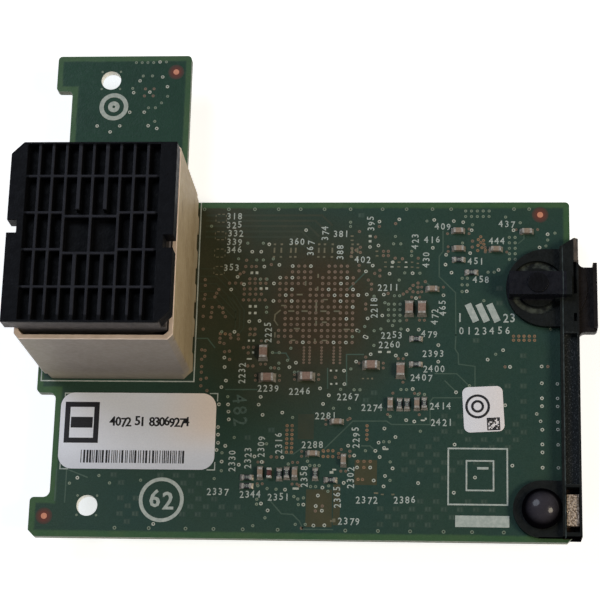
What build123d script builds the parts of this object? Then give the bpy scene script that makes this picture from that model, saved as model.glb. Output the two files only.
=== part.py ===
from build123d import *
import os

# Mezzanine network card, lying on its component side with the tall board connector facing up.
# Sizes are millimetres. X runs along the long edge, Y towards the tab, and while the pieces are
# drawn the board's lower left corner is at X 0, Y 0 and its upper face is at Z 0.

# Circuit board
board_width = 87.3
board_depth = 56.9
board_thickness = 1.6
tab_width = 23.2
tab_reach = 26.8
tab_ear_height = 6.5
tab_side_cut_depth = 2.8
tab_side_cut_height = 16.7
edge_notch_depth = 3.2
edge_notch_height = 17.4
edge_notch_start = 6.4
board_corner_radius = 0.7
notch_corner_radius = 1.1
board_corner_chamfer = 1.0
mount_hole_diameter = 3.4
mount_hole_from_edge = 9.4
upper_hole_from_top = 4.5
lower_hole_from_bottom = 5.1
board_top = board_depth + tab_reach

# Connector housing
housing_width = 24.6
housing_length = 31.9
housing_height = 24.1
housing_wall = 0.7
housing_from_left = 1.05
housing_from_bottom = 26.2
housing_foot_height = 3.0
housing_corner_chamfer = 0.8
housing_foot_chamfer = 1.35
vent_count = 5
vent_width = 2.9
vent_height = 1.4
vent_row_start = 5.7
vent_row_end = 2.48
housing_x = housing_from_left + housing_width / 2
housing_y = housing_from_bottom + housing_length / 2
housing_inner_width = housing_width - 2 * housing_wall
housing_inner_length = housing_length - 2 * housing_wall
vent_pitch = (housing_length - vent_row_start - vent_row_end) / (vent_count - 1)

# Connector wafers, their contacts and the solder joints under them
wafer_count = 10
wafer_side_room = 1.31
wafer_gap = 0.62
wafer_height = 15.0
wafer_lift = 0.6
wafer_shoulder = 1.6
wafer_rib_depth = 1.0
wafer_rib_clearance = 0.06
wafer_window_width = 3.6
wafer_window_height = 5.0
wafer_window_count = 5
contact_count = 10
contact_end_room = 2.2
contact_width = 0.9
contact_thickness = 0.3
contact_rise = 4.6
contact_tip_height = 0.8
contact_tip_width = 0.4
solder_height = 0.35
solder_spread = 0.25
wafer_top = wafer_lift + wafer_height
wafer_pitch = (housing_inner_width - 2 * wafer_side_room + wafer_gap) / wafer_count
wafer_thickness = wafer_pitch - wafer_gap - contact_thickness
contact_row_length = housing_inner_length - 2 * contact_end_room - contact_width
contact_pitch = contact_row_length / (contact_count - 1)

# Dust cap pressed into the connector's mouth
cap_wider_by = 1.25
cap_shorter_by = 2.85
cap_stand = 4.6
cap_flange_height = 3.2
cap_corner_cut = 1.85
cap_shift_left = 0.55
cap_shift_back = -0.1
cap_skirt_wall = 1.0
cap_skirt_clearance = 0.2
cap_skirt_setback = 0.1
cap_pocket_depth = 1.5
cap_rib = 0.4
cap_broad_rib = 0.55
cap_columns = 10
cap_rows = 5
cap_central_columns = 4
cap_side_margin = 2.34
cap_end_margin = 5.585
cap_end_rib = 0.35
cap_centre_drop = 0.6
cap_short_rib_gap = 0.9
cap_grip_width = 2.0
cap_grip_depth = 1.5
cap_grip_left_offset = 0.75
cap_grip_right_offset = -1.65
cap_width = housing_width + cap_wider_by
cap_length = housing_length - cap_shorter_by
cap_top = housing_height + cap_stand
cap_column_pitch = (cap_width - 2 * cap_side_margin) / cap_columns
cap_row_pitch = (cap_length - 2 * cap_end_margin) / (cap_rows - 2)
cap_x = housing_x - cap_shift_left
cap_y = housing_y + cap_shift_back

# Moulded edge rail along the right edge, with two round flanges and a spring tongue
rail_width = 3.05
rail_overhang = 1.25
rail_height = 2.0
rail_lip_height = 1.0
rail_lip_width = 2.2
rail_edge_clearance = 0.15
rail_start = 0.6
rail_end_from_top = 8.4
rail_tip_rise = 1.6
rail_tip_width = 0.6
rail_groove_width = 2.1
rail_groove_depth = 1.2
rail_groove_shift = 0.1
rail_groove_start = 9.0
rail_groove_from_tongue = 0.5
rail_slope_size = 0.8
rail_slope_length = 3.9
rail_end = board_depth - rail_end_from_top
rail_right = board_width + rail_overhang
rail_left = rail_right - rail_width
groove_x = rail_right - rail_width / 2 + rail_groove_shift
flange_thickness = 1.0
upper_flange_radius = 6.6
upper_flange_from_right = 3.9
upper_flange_from_end = 6.7
lower_flange_radius = 4.57
lower_flange_from_right = 5.0
ring_radius = 3.9
ring_groove_width = 1.3
ring_groove_depth = 0.6
bridge_length = 10.1
bridge_width = 3.9
bridge_height = 3.7
bridge_past_edge = 0.05
tongue_width = 3.0
tongue_length = 11.0
tongue_from_end = 14.2
tongue_thickness = 1.6
tongue_root_radius = 1.0
tongue_corner_radius = 0.6
tongue_rim_width = 0.65
tongue_rim_height = 1.0
tongue_rim_rise = 0.5
tongue_root_overlap = 0.5
tongue_slot_width = 0.5
tongue_slot_depth = 0.9
tongue_slot_from_right = 0.85
tongue_slots = [(1.5, 2.9), (6.2, 11.6)]
lower_slot_length = 7.2
lower_slot_start = 1.3
pad_slot_side_clearance = 0.1
tongue_start = rail_end - tongue_from_end
rail_groove_end = tongue_start - rail_groove_from_tongue
tongue_slot_left = rail_right - tongue_slot_from_right
bridge_end = board_width + bridge_past_edge
upper_flange_x = board_width - upper_flange_from_right
upper_flange_y = rail_end - upper_flange_from_end
lower_flange_x = board_width - lower_flange_from_right
lower_flange_y = rail_start + lower_flange_radius

# Pins that hold the rail to the board
pin_diameter = 3.0
pin_head_diameter = 3.3
pin_head_stand = 0.2
pin_hole_clearance = 0.1
pin_barb_height = 1.6
pin_barb_spread = 0.4
pin_split_width = 0.6
pin_from_flange_centre = 1.5
button_diameter = 6.4
button_rim_height = 0.5
button_height = 2.6
button_shank_diameter = 2.6
pin_x = upper_flange_x - pin_from_flange_centre

# Plated contact pad in the rail's lower slot
edge_pad_width = 1.9
edge_pad_length = 5.0
edge_pad_height = 1.5
edge_pad_start = 2.4

# Paper labels
label_thickness = 0.12
large_label_width = 25.6
large_label_height = 12.7
large_label_radius = 2.3
large_label_place = (17.0, 17.45)
small_label_width = 6.5
small_label_height = 7.5
small_label_radius = 1.0
small_label_offset = (26.9, -13.8)
small_label_turn = 3.0

# Chip components on the connector side, placed from the controller's centre or from the board's
# upper right corner
small_chip = (1.6, 0.8, 0.8)
large_chip = (2.0, 1.25, 1.0)
resistor_chip = (1.6, 0.8, 0.45)
chip_end_length = 0.35
small_caps_from_corner = [(18.3, 5.1), (18.2, 8.2), (12.1, 8.3), (7.0, 5.2)]
resistors_from_corner = [(18.2, 10.1), (16.1, 12.3)]
small_caps_along = [(18.6, 6.4), (3.3, -16.1), (-0.5, -21.4)]
small_caps_across = [(11.9, -13.0), (16.2, -13.0), (4.5, -22.4), (-8.9, -24.6), (-3.3, -24.6)]
large_caps_along = [(-8.2, -8.8), (-1.8, -8.6), (8.7, -6.6)]
large_caps_across = [(14.8, 3.1), (16.9, 3.1), (-9.0, -4.5), (13.5, -7.4)]
resistors_along = [(16.0, -2.1), (16.0, -6.4), (2.5, -25.7), (-11.0, -25.4), (-11.0, -26.8)]
resistors_across = [(13.4, -13.1), (14.6, -13.1), (17.4, -12.9)]
resistors_across += [(-5.8, -24.8), (-4.6, -24.6), (0.0, -24.7)]

# Component side, which faces down: heights are measured from the board's lower face
component_height_limit = 6.0
controller_shift_left = 9.375
controller_shift_up = 6.85
controller_side = 17.0
controller_base_height = 0.56
controller_cover_side = 15.0
controller_cover_height = 0.8
controller_cover_bevel = 0.3
ball_count = 16
ball_pitch = 1.0
ball_diameter = 0.5
ball_height = 0.4
thermal_pad_height = 0.2
sink_side = 30.0
sink_base_height = 1.3
sink_fin_count = 11
sink_fin_thickness = 0.9
sink_cross_cut = 2.4
inductor_from_sink = 1.5
inductor_rows = (-1.2, 7.8)
inductor_side = 7.0
inductor_height = 4.0
inductor_corner = 1.2
inductor_foot_height = 0.25
inductor_foot_width = 1.6
can_places = [(9.0, 32.5), (9.0, 50.5), (19.5, 32.5)]
can_diameter = 6.3
can_base_side = 6.6
can_base_height = 0.9
can_base_corner = 1.4
can_edge_radius = 0.4
regulator_places = [(19.0, -7.8), (13.8, -21.8)]
regulator_side = 5.0
regulator_height = 0.9
memory_places = [(-18.7, -22.3), (-7.2, -22.8)]
memory_body = (4.9, 3.9, 1.5)
memory_foot_gap = 0.15
memory_lead_count = 4
memory_lead_pitch = 1.27
memory_lead_width = 0.42
memory_lead_thickness = 0.2
memory_lead_reach = 1.05
memory_lead_knee = 0.45
crystal_offset = (4.3, -22.8)
crystal_body = (5.0, 3.2, 0.5)
crystal_lid_height = 0.6
crystal_lid_inset = 0.3
bulk_caps_on_tab = [(18.0, 66.0), (11.5, 66.0)]
bulk_caps_near_controller = [(20.8, -21.3)]
bulk_cap_body = (4.3, 7.3, 2.8)
bulk_cap_bevel = 0.3
bulk_cap_foot_width = 2.4
bulk_cap_foot_length = 1.1
bulk_cap_foot_height = 0.15
rear_chip_rows = 2
rear_chip_columns = 6
rear_chip_pitch = 1.6
rear_chip_row_gap = 2.6
rear_chips_start = (14.0, 43.0)


def slab(outline, low, high):
    """A flat outline raised from one height to another."""
    return extrude(Pos(0, 0, low) * outline, high - low)


def block(size, place, low):
    """A rectangular block centred on a place, standing on a height."""
    width, depth, height = size
    return slab(Pos(place[0], place[1]) * Rectangle(width, depth), low, low + height)


def span(start, end):
    """A rectangle between two corners."""
    width, depth = end[0] - start[0], end[1] - start[1]
    return Pos(start[0] + width / 2, start[1] + depth / 2) * Rectangle(width, depth)


def hanging(shape):
    """Turns a piece drawn standing on Z 0 over, so that it hangs under the board."""
    return Pos(0, 0, -board_thickness) * mirror(shape, about=Plane.XY)


def group(solids):
    """Separate solids kept together as one node."""
    return Compound(children=list(solids))


def controller_place():
    """Left of and above the middle of the free area between the connector and the rail."""
    housing_right = housing_from_left + housing_width
    return ((housing_right + rail_left) / 2 - controller_shift_left, board_depth / 2 + controller_shift_up)


def near_controller(offsets):
    """Places measured from the controller's centre."""
    cx, cy = controller_place()
    return [(cx + dx, cy + dy) for dx, dy in offsets]


def pin_places():
    """The two places where the rail is pinned to the board."""
    return [(pin_x, upper_flange_y), (lower_flange_x, lower_flange_y)]


def circuit_board():
    """Laminate with a tab, a side cut under the tab's ear and a notch in its left edge."""
    ear_start = board_top - tab_ear_height
    side_cut_start = ear_start - tab_side_cut_height
    notch_end = edge_notch_start + edge_notch_height
    outline = span((0, 0), (board_width, board_depth))
    outline += span((0, board_depth), (tab_width, board_top))
    outline -= span((0, side_cut_start), (tab_side_cut_depth, ear_start))
    outline -= span((0, edge_notch_start), (edge_notch_depth, notch_end))
    lower_corners = outline.vertices().filter_by_position(Axis.Y, -0.1, 0.1)
    outline = chamfer(lower_corners, board_corner_chamfer)
    notch_corners = [v for v in outline.vertices() if abs(v.X - edge_notch_depth) < 0.01]
    outline = fillet(notch_corners, notch_corner_radius)
    edge_corners = outline.vertices().filter_by_position(Axis.Y, edge_notch_start - 0.1, board_top + 0.1)
    edge_corners = [v for v in edge_corners if v.X < 0.1 or v.X > tab_width - 0.1 or v.Y > board_depth]
    outline = fillet(edge_corners, board_corner_radius)
    mount_hole = Circle(mount_hole_diameter / 2)
    outline -= Pos(mount_hole_from_edge, board_top - upper_hole_from_top) * mount_hole
    outline -= Pos(mount_hole_from_edge, lower_hole_from_bottom) * mount_hole
    for place, diameter in zip(pin_places(), (pin_diameter, button_shank_diameter)):
        outline -= Pos(*place) * Circle(diameter / 2 + pin_hole_clearance)
    return slab(outline, -board_thickness, 0)


def housing_outline(corner):
    """The housing's plan, a rectangle with cut corners."""
    plan = Rectangle(housing_width, housing_length)
    return Pos(housing_x, housing_y) * chamfer(plan.vertices(), corner)


def wafer_centres():
    """X places of the wafers, evenly spread about the housing's middle."""
    first = housing_x - (wafer_count - 1) * wafer_pitch / 2 - contact_thickness / 2
    return [first + i * wafer_pitch for i in range(wafer_count)]


def connector_housing():
    """Open-topped walls with a cut foot, vents along the sides and ribs that guide the wafers."""
    foot = slab(housing_outline(housing_foot_chamfer), 0, housing_foot_height)
    walls = slab(housing_outline(housing_corner_chamfer), housing_foot_height, housing_height)
    bore = Pos(housing_x, housing_y) * Rectangle(housing_inner_width, housing_inner_length)
    corner_fill = housing_foot_chamfer - housing_wall
    bore = chamfer(bore.vertices(), corner_fill)
    housing = foot + walls - slab(bore, 0, housing_height)
    vent_start = housing_from_bottom + vent_row_start
    for i in range(vent_count):
        vent = (housing_width, vent_width, vent_height)
        housing -= block(vent, (housing_x, vent_start + i * vent_pitch), 0)
    rib_width = wafer_pitch - wafer_thickness - contact_thickness - 2 * wafer_rib_clearance
    rib_shift = (wafer_pitch + contact_thickness) / 2
    rib_size = (rib_width, wafer_rib_depth, wafer_top - wafer_shoulder - wafer_lift)
    front = housing_from_bottom + housing_wall + wafer_rib_depth / 2
    back = housing_from_bottom + housing_length - housing_wall - wafer_rib_depth / 2
    for x in wafer_centres()[:-1]:
        for y in (front, back):
            housing += block(rib_size, (x + rib_shift, y), wafer_lift)
    return housing


def wafer_outline():
    """Side view of a wafer in Y and Z, with shouldered ends and a row of windows."""
    plan = Rectangle(housing_inner_length, wafer_height)
    plan = chamfer(plan.vertices().group_by(Axis.Y)[-1], wafer_shoulder)
    gap = housing_inner_length / wafer_window_count
    window = Rectangle(wafer_window_width, wafer_window_height)
    for i in range(wafer_window_count):
        plan -= Pos((i - (wafer_window_count - 1) / 2) * gap, 0) * window
    return plan


def connector_wafers():
    """Moulded wafers side by side, each as long as the housing is inside."""
    profile = extrude(wafer_outline(), wafer_thickness / 2, both=True)
    upright = Rot(0, 0, 90) * Rot(90, 0, 0) * profile
    middle = wafer_lift + wafer_height / 2
    return group(Pos(x, housing_y, middle) * upright for x in wafer_centres())


def contact_places():
    """Every contact's X and Y, against the right face of its wafer."""
    beside = (wafer_thickness + contact_thickness) / 2
    first = housing_y - (contact_count - 1) / 2 * contact_pitch
    row = [first + i * contact_pitch for i in range(contact_count)]
    return [(x + beside, y) for x in wafer_centres() for y in row]


def connector_contacts():
    """Flat blades with a narrowed tip, standing from their solder joints to above the wafers."""
    half, tip = contact_width / 2, contact_tip_width / 2
    top = wafer_top + contact_rise
    neck = top - contact_tip_height
    right_side = [(half, solder_height), (half, neck), (tip, top)]
    left_side = [(-x, z) for x, z in reversed(right_side)]
    outline = make_face(Polyline(*right_side, *left_side, close=True))
    blade = extrude(outline, contact_thickness / 2, both=True)
    upright = Rot(0, 0, 90) * Rot(90, 0, 0) * blade
    return group(Pos(x, y, 0) * upright for x, y in contact_places())


def connector_solder():
    """A tapered solder joint under each contact."""
    wide = Rectangle(contact_thickness + 2 * solder_spread, contact_width + 2 * solder_spread)
    narrow = Rectangle(contact_thickness, contact_width)
    joint = loft([wide, Pos(0, 0, solder_height) * narrow])
    return group(Pos(x, y, 0) * joint for x, y in contact_places())


def cap_cells():
    """Corners of each pocket in the cap's top, column by column and row by row."""
    left = cap_x - cap_columns * cap_column_pitch / 2
    end_line = cap_length / 2 - cap_end_rib + cap_rib / 2
    inner_lines = [cap_y + (i - cap_rows / 2 + 1) * cap_row_pitch for i in range(cap_rows - 1)]
    lines = [cap_y - end_line] + inner_lines + [cap_y + end_line]
    first_central = (cap_columns - cap_central_columns) // 2
    broad_shift = (cap_broad_rib - cap_rib) / 2
    cells = []
    for row in range(cap_rows):
        for column in range(cap_columns):
            start = left + column * cap_column_pitch
            end = start + cap_column_pitch
            low, high = lines[row], lines[row + 1]
            place = column - first_central
            if 0 <= place < cap_central_columns:
                low -= cap_centre_drop * (row in (2, 3))
                high -= cap_centre_drop * (row in (1, 2))
                start += broad_shift * (place in (1, 3))
                end -= broad_shift * (place in (0, 2))
                if row == 2 and place in (1, 3):
                    start -= cap_column_pitch
            cells.append((start + cap_rib / 2, low + cap_rib / 2, end - cap_rib / 2, high - cap_rib / 2))
            if row == 3 and place in (0, 2):
                low += cap_rib / 2
                cells.append((end - cap_broad_rib, low, end + cap_broad_rib, low + cap_short_rib_gap))
    return cells


def connector_cap():
    """Dust cap: a thick top with pockets between ribs, grip notches at its sides and a skirt below."""
    top = Rectangle(cap_width, cap_length)
    left_back = top.vertices().sort_by(Axis.X)[:2].sort_by(Axis.Y)[-1]
    right_front = top.vertices().sort_by(Axis.X)[2:].sort_by(Axis.Y)[0]
    top = chamfer([left_back, right_front], cap_corner_cut)
    grip = Rectangle(2 * cap_grip_depth, cap_grip_width)
    top -= Pos(-cap_width / 2, cap_grip_left_offset) * grip
    top -= Pos(cap_width / 2, cap_grip_right_offset) * grip
    cap = slab(Pos(cap_x, cap_y) * top, cap_top - cap_flange_height, cap_top)
    for x0, y0, x1, y1 in cap_cells():
        cap -= slab(span((x0, y0), (x1, y1)), cap_top - cap_pocket_depth, cap_top)
    skirt_width = housing_inner_width - 2 * cap_skirt_clearance
    skirt_length = cap_length - 2 * cap_skirt_setback
    skirt = Rectangle(skirt_width, skirt_length)
    skirt -= Rectangle(skirt_width - 2 * cap_skirt_wall, skirt_length - 2 * cap_skirt_wall)
    return cap + slab(Pos(housing_x, cap_y) * skirt, wafer_top, cap_top - cap_flange_height)


def rail_section():
    """The rail's channel, which grips the board's edge: an outline in X and Z."""
    lip_left = rail_right - rail_lip_width
    wall = board_width + rail_edge_clearance
    low = -board_thickness - rail_lip_height
    corners = [(rail_left, rail_height), (rail_left, 0), (wall, 0), (wall, -board_thickness)]
    corners += [(lip_left, -board_thickness), (lip_left, low), (rail_right, low), (rail_right, rail_height)]
    return make_face(Polyline(*corners, close=True))


def round_flange(x, y, radius):
    """A round flange whose right side runs straight into the rail."""
    plan = Pos(x, y) * Circle(radius) + span((x, y - radius), (rail_left + rail_width / 2, y + radius))
    return slab(plan, 0, flange_thickness)


def spring_tongue():
    """The tongue outside the board's edge, with rounded roots and a raised outer rim."""
    outer = rail_right + tongue_width
    end = tongue_start + tongue_length
    root = rail_right - tongue_root_overlap
    plan = span((root, tongue_start), (outer, end))
    plan = fillet(plan.vertices().group_by(Axis.X)[-1], tongue_corner_radius)
    r = tongue_root_radius
    for y, side in ((tongue_start, -1), (end, 1)):
        corner = Pos(rail_right + r / 2, y + side * r / 2) * Rectangle(r, r)
        plan += corner - Pos(rail_right + r, y + side * r) * Circle(r)
    plate = slab(plan, -tongue_thickness / 2, tongue_thickness / 2)
    rim_start, rim_end = tongue_start + tongue_corner_radius, end + tongue_rim_rise
    rim = span((outer - tongue_rim_width, rim_start), (outer, rim_end))
    return plate + slab(rim, -tongue_thickness / 2, tongue_thickness / 2 + tongue_rim_height)


def rail_tip():
    """The rail's slanted upper end, with a sloping face cut along its outer edge."""
    top = rail_end + rail_tip_rise
    corners = [(rail_left, rail_end), (rail_right, rail_end)]
    corners += [(rail_right, top), (rail_right - rail_tip_width, top)]
    return slab(make_face(Polyline(*corners, close=True)), 0, rail_height)


def rail_tip_slope():
    """What is cut from the rail's outer edge to leave the sloping face."""
    size = rail_slope_size
    top = rail_height
    corners = [(rail_right - size, top), (rail_right, top), (rail_right, top - size)]
    outline = make_face(Polyline(*corners, close=True))
    end = rail_end + rail_tip_rise
    return extrude(Pos(0, end, 0) * Rot(90, 0, 0) * outline, rail_slope_length)


def edge_rail():
    """One moulding: channel, two flanges, the bridge over the upper one and the spring tongue."""
    rail = extrude(Pos(0, rail_end, 0) * Rot(90, 0, 0) * rail_section(), rail_end - rail_start)
    rail += rail_tip()
    rail -= rail_tip_slope()
    rail += round_flange(upper_flange_x, upper_flange_y, upper_flange_radius)
    rail += round_flange(lower_flange_x, lower_flange_y, lower_flange_radius)
    ring = Circle(ring_radius + ring_groove_width / 2) - Circle(ring_radius - ring_groove_width / 2)
    rail -= slab(Pos(pin_x, upper_flange_y) * ring, flange_thickness - ring_groove_depth, flange_thickness)
    bridge = Pos(bridge_end - bridge_length / 2, upper_flange_y) * Rectangle(bridge_length, bridge_width)
    rail += slab(bridge, flange_thickness - ring_groove_depth, bridge_height)
    rail += spring_tongue()
    for start, end in tongue_slots:
        slot = span((0, start), (tongue_slot_width, end))
        slot = Pos(tongue_slot_left, tongue_start) * slot
        rail -= slab(slot, rail_height - tongue_slot_depth, rail_height)
    groove_length = rail_groove_end - rail_groove_start
    groove_place = (groove_x, rail_groove_start + groove_length / 2)
    groove_size = (rail_groove_width, groove_length, rail_groove_depth)
    rail -= block(groove_size, groove_place, rail_height - rail_groove_depth)
    slot_width = edge_pad_width + 2 * pad_slot_side_clearance
    slot_place = (groove_x, lower_slot_start + lower_slot_length / 2)
    rail -= block((slot_width, lower_slot_length, rail_height), slot_place, 0)
    for place, diameter in zip(pin_places(), (pin_diameter, button_shank_diameter)):
        rail -= slab(Pos(*place) * Circle(diameter / 2 + pin_hole_clearance), 0, bridge_height)
    return rail


def barbed_shank(diameter, top):
    """A split shank that runs down through the board and snaps under it, drawn about the Z axis."""
    radius = diameter / 2
    below = -board_thickness
    barb = radius + pin_barb_spread
    end = below - pin_barb_height
    side = [(0, top), (radius, top), (radius, below), (barb, below)]
    side += [(radius - pin_barb_spread, end), (0, end)]
    shank = revolve(make_face(Plane.XZ * Polyline(*side, close=True)), Axis.Z)
    split = (pin_split_width, 2 * barb, board_thickness + pin_barb_height)
    return shank - block(split, (0, 0), end)


def retaining_pin():
    """Round-headed pin through the bridge, the flange and the board."""
    top = bridge_height
    head = slab(Circle(pin_head_diameter / 2), top, top + pin_head_stand)
    return Pos(pin_x, upper_flange_y) * (barbed_shank(pin_diameter, top) + head)


def dome_button():
    """Domed stop on the lower flange, with its own snap shank."""
    radius = button_diameter / 2
    rise = button_height - button_rim_height
    rim_top = flange_thickness + button_rim_height
    ball = (radius * radius + rise * rise) / (2 * rise)
    dome = Pos(0, 0, rim_top + rise - ball) * Sphere(ball)
    dome &= slab(Circle(radius), rim_top, rim_top + rise)
    rim = slab(Circle(radius), flange_thickness, rim_top)
    shank = barbed_shank(button_shank_diameter, flange_thickness)
    return Pos(lower_flange_x, lower_flange_y) * (shank + rim + dome)


def edge_contact_pad():
    """Small plated block seated in the rail's lower slot."""
    place = (groove_x, edge_pad_start + edge_pad_length / 2)
    return block((edge_pad_width, edge_pad_length, edge_pad_height), place, 0)


def large_label():
    """Rectangular paper label below the connector."""
    plan = RectangleRounded(large_label_width, large_label_height, large_label_radius)
    return slab(Pos(*large_label_place) * plan, 0, label_thickness)


def small_label():
    """Small paper label, stuck on slightly turned."""
    plan = RectangleRounded(small_label_width, small_label_height, small_label_radius)
    place = near_controller([small_label_offset])[0]
    return slab(Pos(*place) * Rot(0, 0, small_label_turn) * plan, 0, label_thickness)


def from_corner(distances):
    """Places measured leftwards and downwards from the board's upper right corner."""
    return [(board_width - left, board_depth - down) for left, down in distances]


def chip_bodies(size, along, across):
    """Ceramic bodies between their end caps, some along X and some across."""
    length, width, height = size
    body = block((length - 2 * chip_end_length, width, height), (0, 0), 0)
    return [Pos(*p) * body for p in along] + [Pos(*p) * Rot(0, 0, 90) * body for p in across]


def chip_ends(size, along, across):
    """The two metal end caps of each chip component."""
    length, width, height = size
    shift = (length - chip_end_length) / 2
    ends = [block((chip_end_length, width, height), (side * shift, 0), 0) for side in (-1, 1)]
    placed = [Pos(*p) * end for p in along for end in ends]
    return placed + [Pos(*p) * Rot(0, 0, 90) * end for p in across for end in ends]


def controller_top():
    """Depth under the board's lower face of the controller's cover."""
    return ball_height + controller_base_height + controller_cover_height


def controller_balls():
    """Grid of solder balls between the board and the controller."""
    half = (ball_count - 1) / 2
    ball = slab(RegularPolygon(ball_diameter / 2, 6), 0, ball_height)
    steps = [(i - half) * ball_pitch for i in range(ball_count)]
    places = near_controller([(dx, dy) for dx in steps for dy in steps])
    return group(hanging(Pos(*p) * ball) for p in places)


def controller_base():
    """The controller's carrier board."""
    size = (controller_side, controller_side, controller_base_height)
    return hanging(block(size, controller_place(), ball_height))


def controller_cover():
    """The controller's moulded cover with bevelled edges."""
    size = (controller_cover_side, controller_cover_side, controller_cover_height)
    cover = block(size, controller_place(), ball_height + controller_base_height)
    return hanging(chamfer(cover.faces().sort_by(Axis.Z)[-1].edges(), controller_cover_bevel))


def thermal_pad():
    """Soft pad between the controller and its heat sink."""
    side = controller_cover_side - 2 * controller_cover_bevel
    return hanging(block((side, side, thermal_pad_height), controller_place(), controller_top()))


def heat_sink():
    """Square base with rows of fins, cut once across, reaching the height limit."""
    low = controller_top() + thermal_pad_height
    base = block((sink_side, sink_side, sink_base_height), controller_place(), low)
    fin_low = low + sink_base_height
    fin_size = (sink_fin_thickness, sink_side, component_height_limit - fin_low)
    pitch = (sink_side - sink_fin_thickness) / (sink_fin_count - 1)
    cx, cy = controller_place()
    for i in range(sink_fin_count):
        base += block(fin_size, (cx + (i - (sink_fin_count - 1) / 2) * pitch, cy), fin_low)
    return hanging(base - block((sink_side, sink_cross_cut, fin_size[2]), (cx, cy), fin_low))


def inductor_places():
    """Two places one above the other, just right of the heat sink."""
    beside = (sink_side + inductor_side) / 2 + inductor_from_sink
    return near_controller([(beside, row) for row in inductor_rows])


def inductor_bodies():
    """Shielded power inductors with cut corners."""
    plan = chamfer(Rectangle(inductor_side, inductor_side).vertices(), inductor_corner)
    body = slab(plan, inductor_foot_height, inductor_height)
    return group(hanging(Pos(*p) * body) for p in inductor_places())


def inductor_feet():
    """Two flat solder terminals under each inductor."""
    shift = (inductor_side - inductor_foot_width) / 2
    size = (inductor_foot_width, inductor_side - 2 * inductor_corner, inductor_foot_height)
    feet = [block(size, (side * shift, 0), 0) for side in (-1, 1)]
    return group(hanging(Pos(*p) * foot) for p in inductor_places() for foot in feet)


def can_capacitors():
    """Round aluminium cans whose tops reach the height limit."""
    can = slab(Circle(can_diameter / 2), can_base_height, component_height_limit)
    can = fillet(can.faces().sort_by(Axis.Z)[-1].edges(), can_edge_radius)
    return group(hanging(Pos(*p) * can) for p in can_places)


def can_bases():
    """Square moulded bases under the cans, with two cut corners."""
    plan = Rectangle(can_base_side, can_base_side)
    base = slab(chamfer(plan.vertices().group_by(Axis.X)[-1], can_base_corner), 0, can_base_height)
    return group(hanging(Pos(*p) * base) for p in can_places)


def regulators():
    """Flat leadless voltage regulators."""
    size = (regulator_side, regulator_side, regulator_height)
    return group(hanging(block(size, p, 0)) for p in near_controller(regulator_places))


def memory_bodies():
    """Moulded memory chips, held just off the board by their leads."""
    return group(hanging(block(memory_body, p, memory_foot_gap)) for p in near_controller(memory_places))


def memory_leads():
    """Bent leads along both long sides of each memory chip."""
    length, width, height = memory_body
    step = memory_foot_gap + height / 2
    reach, knee, t = memory_lead_reach, memory_lead_knee, memory_lead_thickness
    under = [(0, step), (knee, step), (knee, 0), (reach, 0)]
    over = [(reach, t), (knee + t, t), (knee + t, step + t), (0, step + t)]
    outline = Plane.YZ * make_face(Polyline(*under, *over, close=True))
    lead = extrude(outline, memory_lead_width / 2, both=True)
    first = -(memory_lead_count - 1) / 2 * memory_lead_pitch
    row = [Pos(first + i * memory_lead_pitch, width / 2) * lead for i in range(memory_lead_count)]
    both = row + [Rot(0, 0, 180) * one for one in row]
    return group(hanging(Pos(*p) * one) for p in near_controller(memory_places) for one in both)


def crystal_base():
    """Ceramic base of the timing crystal."""
    return hanging(block(crystal_body, near_controller([crystal_offset])[0], 0))


def crystal_lid():
    """Metal lid of the timing crystal."""
    length, width, height = crystal_body
    size = (length - 2 * crystal_lid_inset, width - 2 * crystal_lid_inset, crystal_lid_height)
    return hanging(block(size, near_controller([crystal_offset])[0], height))


def bulk_cap_places():
    """Two places on the tab and one beside the controller."""
    return bulk_caps_on_tab + near_controller(bulk_caps_near_controller)


def bulk_cap_bodies():
    """Moulded bulk capacitors with a bevelled top."""
    body = block(bulk_cap_body, (0, 0), bulk_cap_foot_height)
    body = chamfer(body.faces().sort_by(Axis.Z)[-1].edges(), bulk_cap_bevel)
    return group(hanging(Pos(*p) * body) for p in bulk_cap_places())


def bulk_cap_feet():
    """Folded metal feet at the two ends of each bulk capacitor."""
    length = bulk_cap_body[1]
    size = (bulk_cap_foot_width, bulk_cap_foot_length, bulk_cap_foot_height)
    shift = (length - bulk_cap_foot_length) / 2
    feet = [block(size, (0, side * shift), 0) for side in (-1, 1)]
    return group(hanging(Pos(*p) * foot) for p in bulk_cap_places() for foot in feet)


def rear_chip_places():
    """Rows of decoupling capacitors under the connector."""
    columns = [rear_chips_start[0] + i * rear_chip_row_gap for i in range(rear_chip_rows)]
    rows = [rear_chips_start[1] + i * rear_chip_pitch for i in range(rear_chip_columns)]
    return [(x, y) for x in columns for y in rows]


def rear_chip_bodies():
    """Bodies of the decoupling capacitors on the component side."""
    return group(hanging(body) for body in chip_bodies(small_chip, rear_chip_places(), []))


def rear_chip_ends():
    """End caps of the decoupling capacitors on the component side."""
    return group(hanging(end) for end in chip_ends(small_chip, rear_chip_places(), []))


small_caps = [near_controller(small_caps_along) + from_corner(small_caps_from_corner)]
small_caps += [near_controller(small_caps_across)]
large_caps = [near_controller(large_caps_along), near_controller(large_caps_across)]
resistors = [near_controller(resistors_along) + from_corner(resistors_from_corner)]
resistors += [near_controller(resistors_across)]

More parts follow.
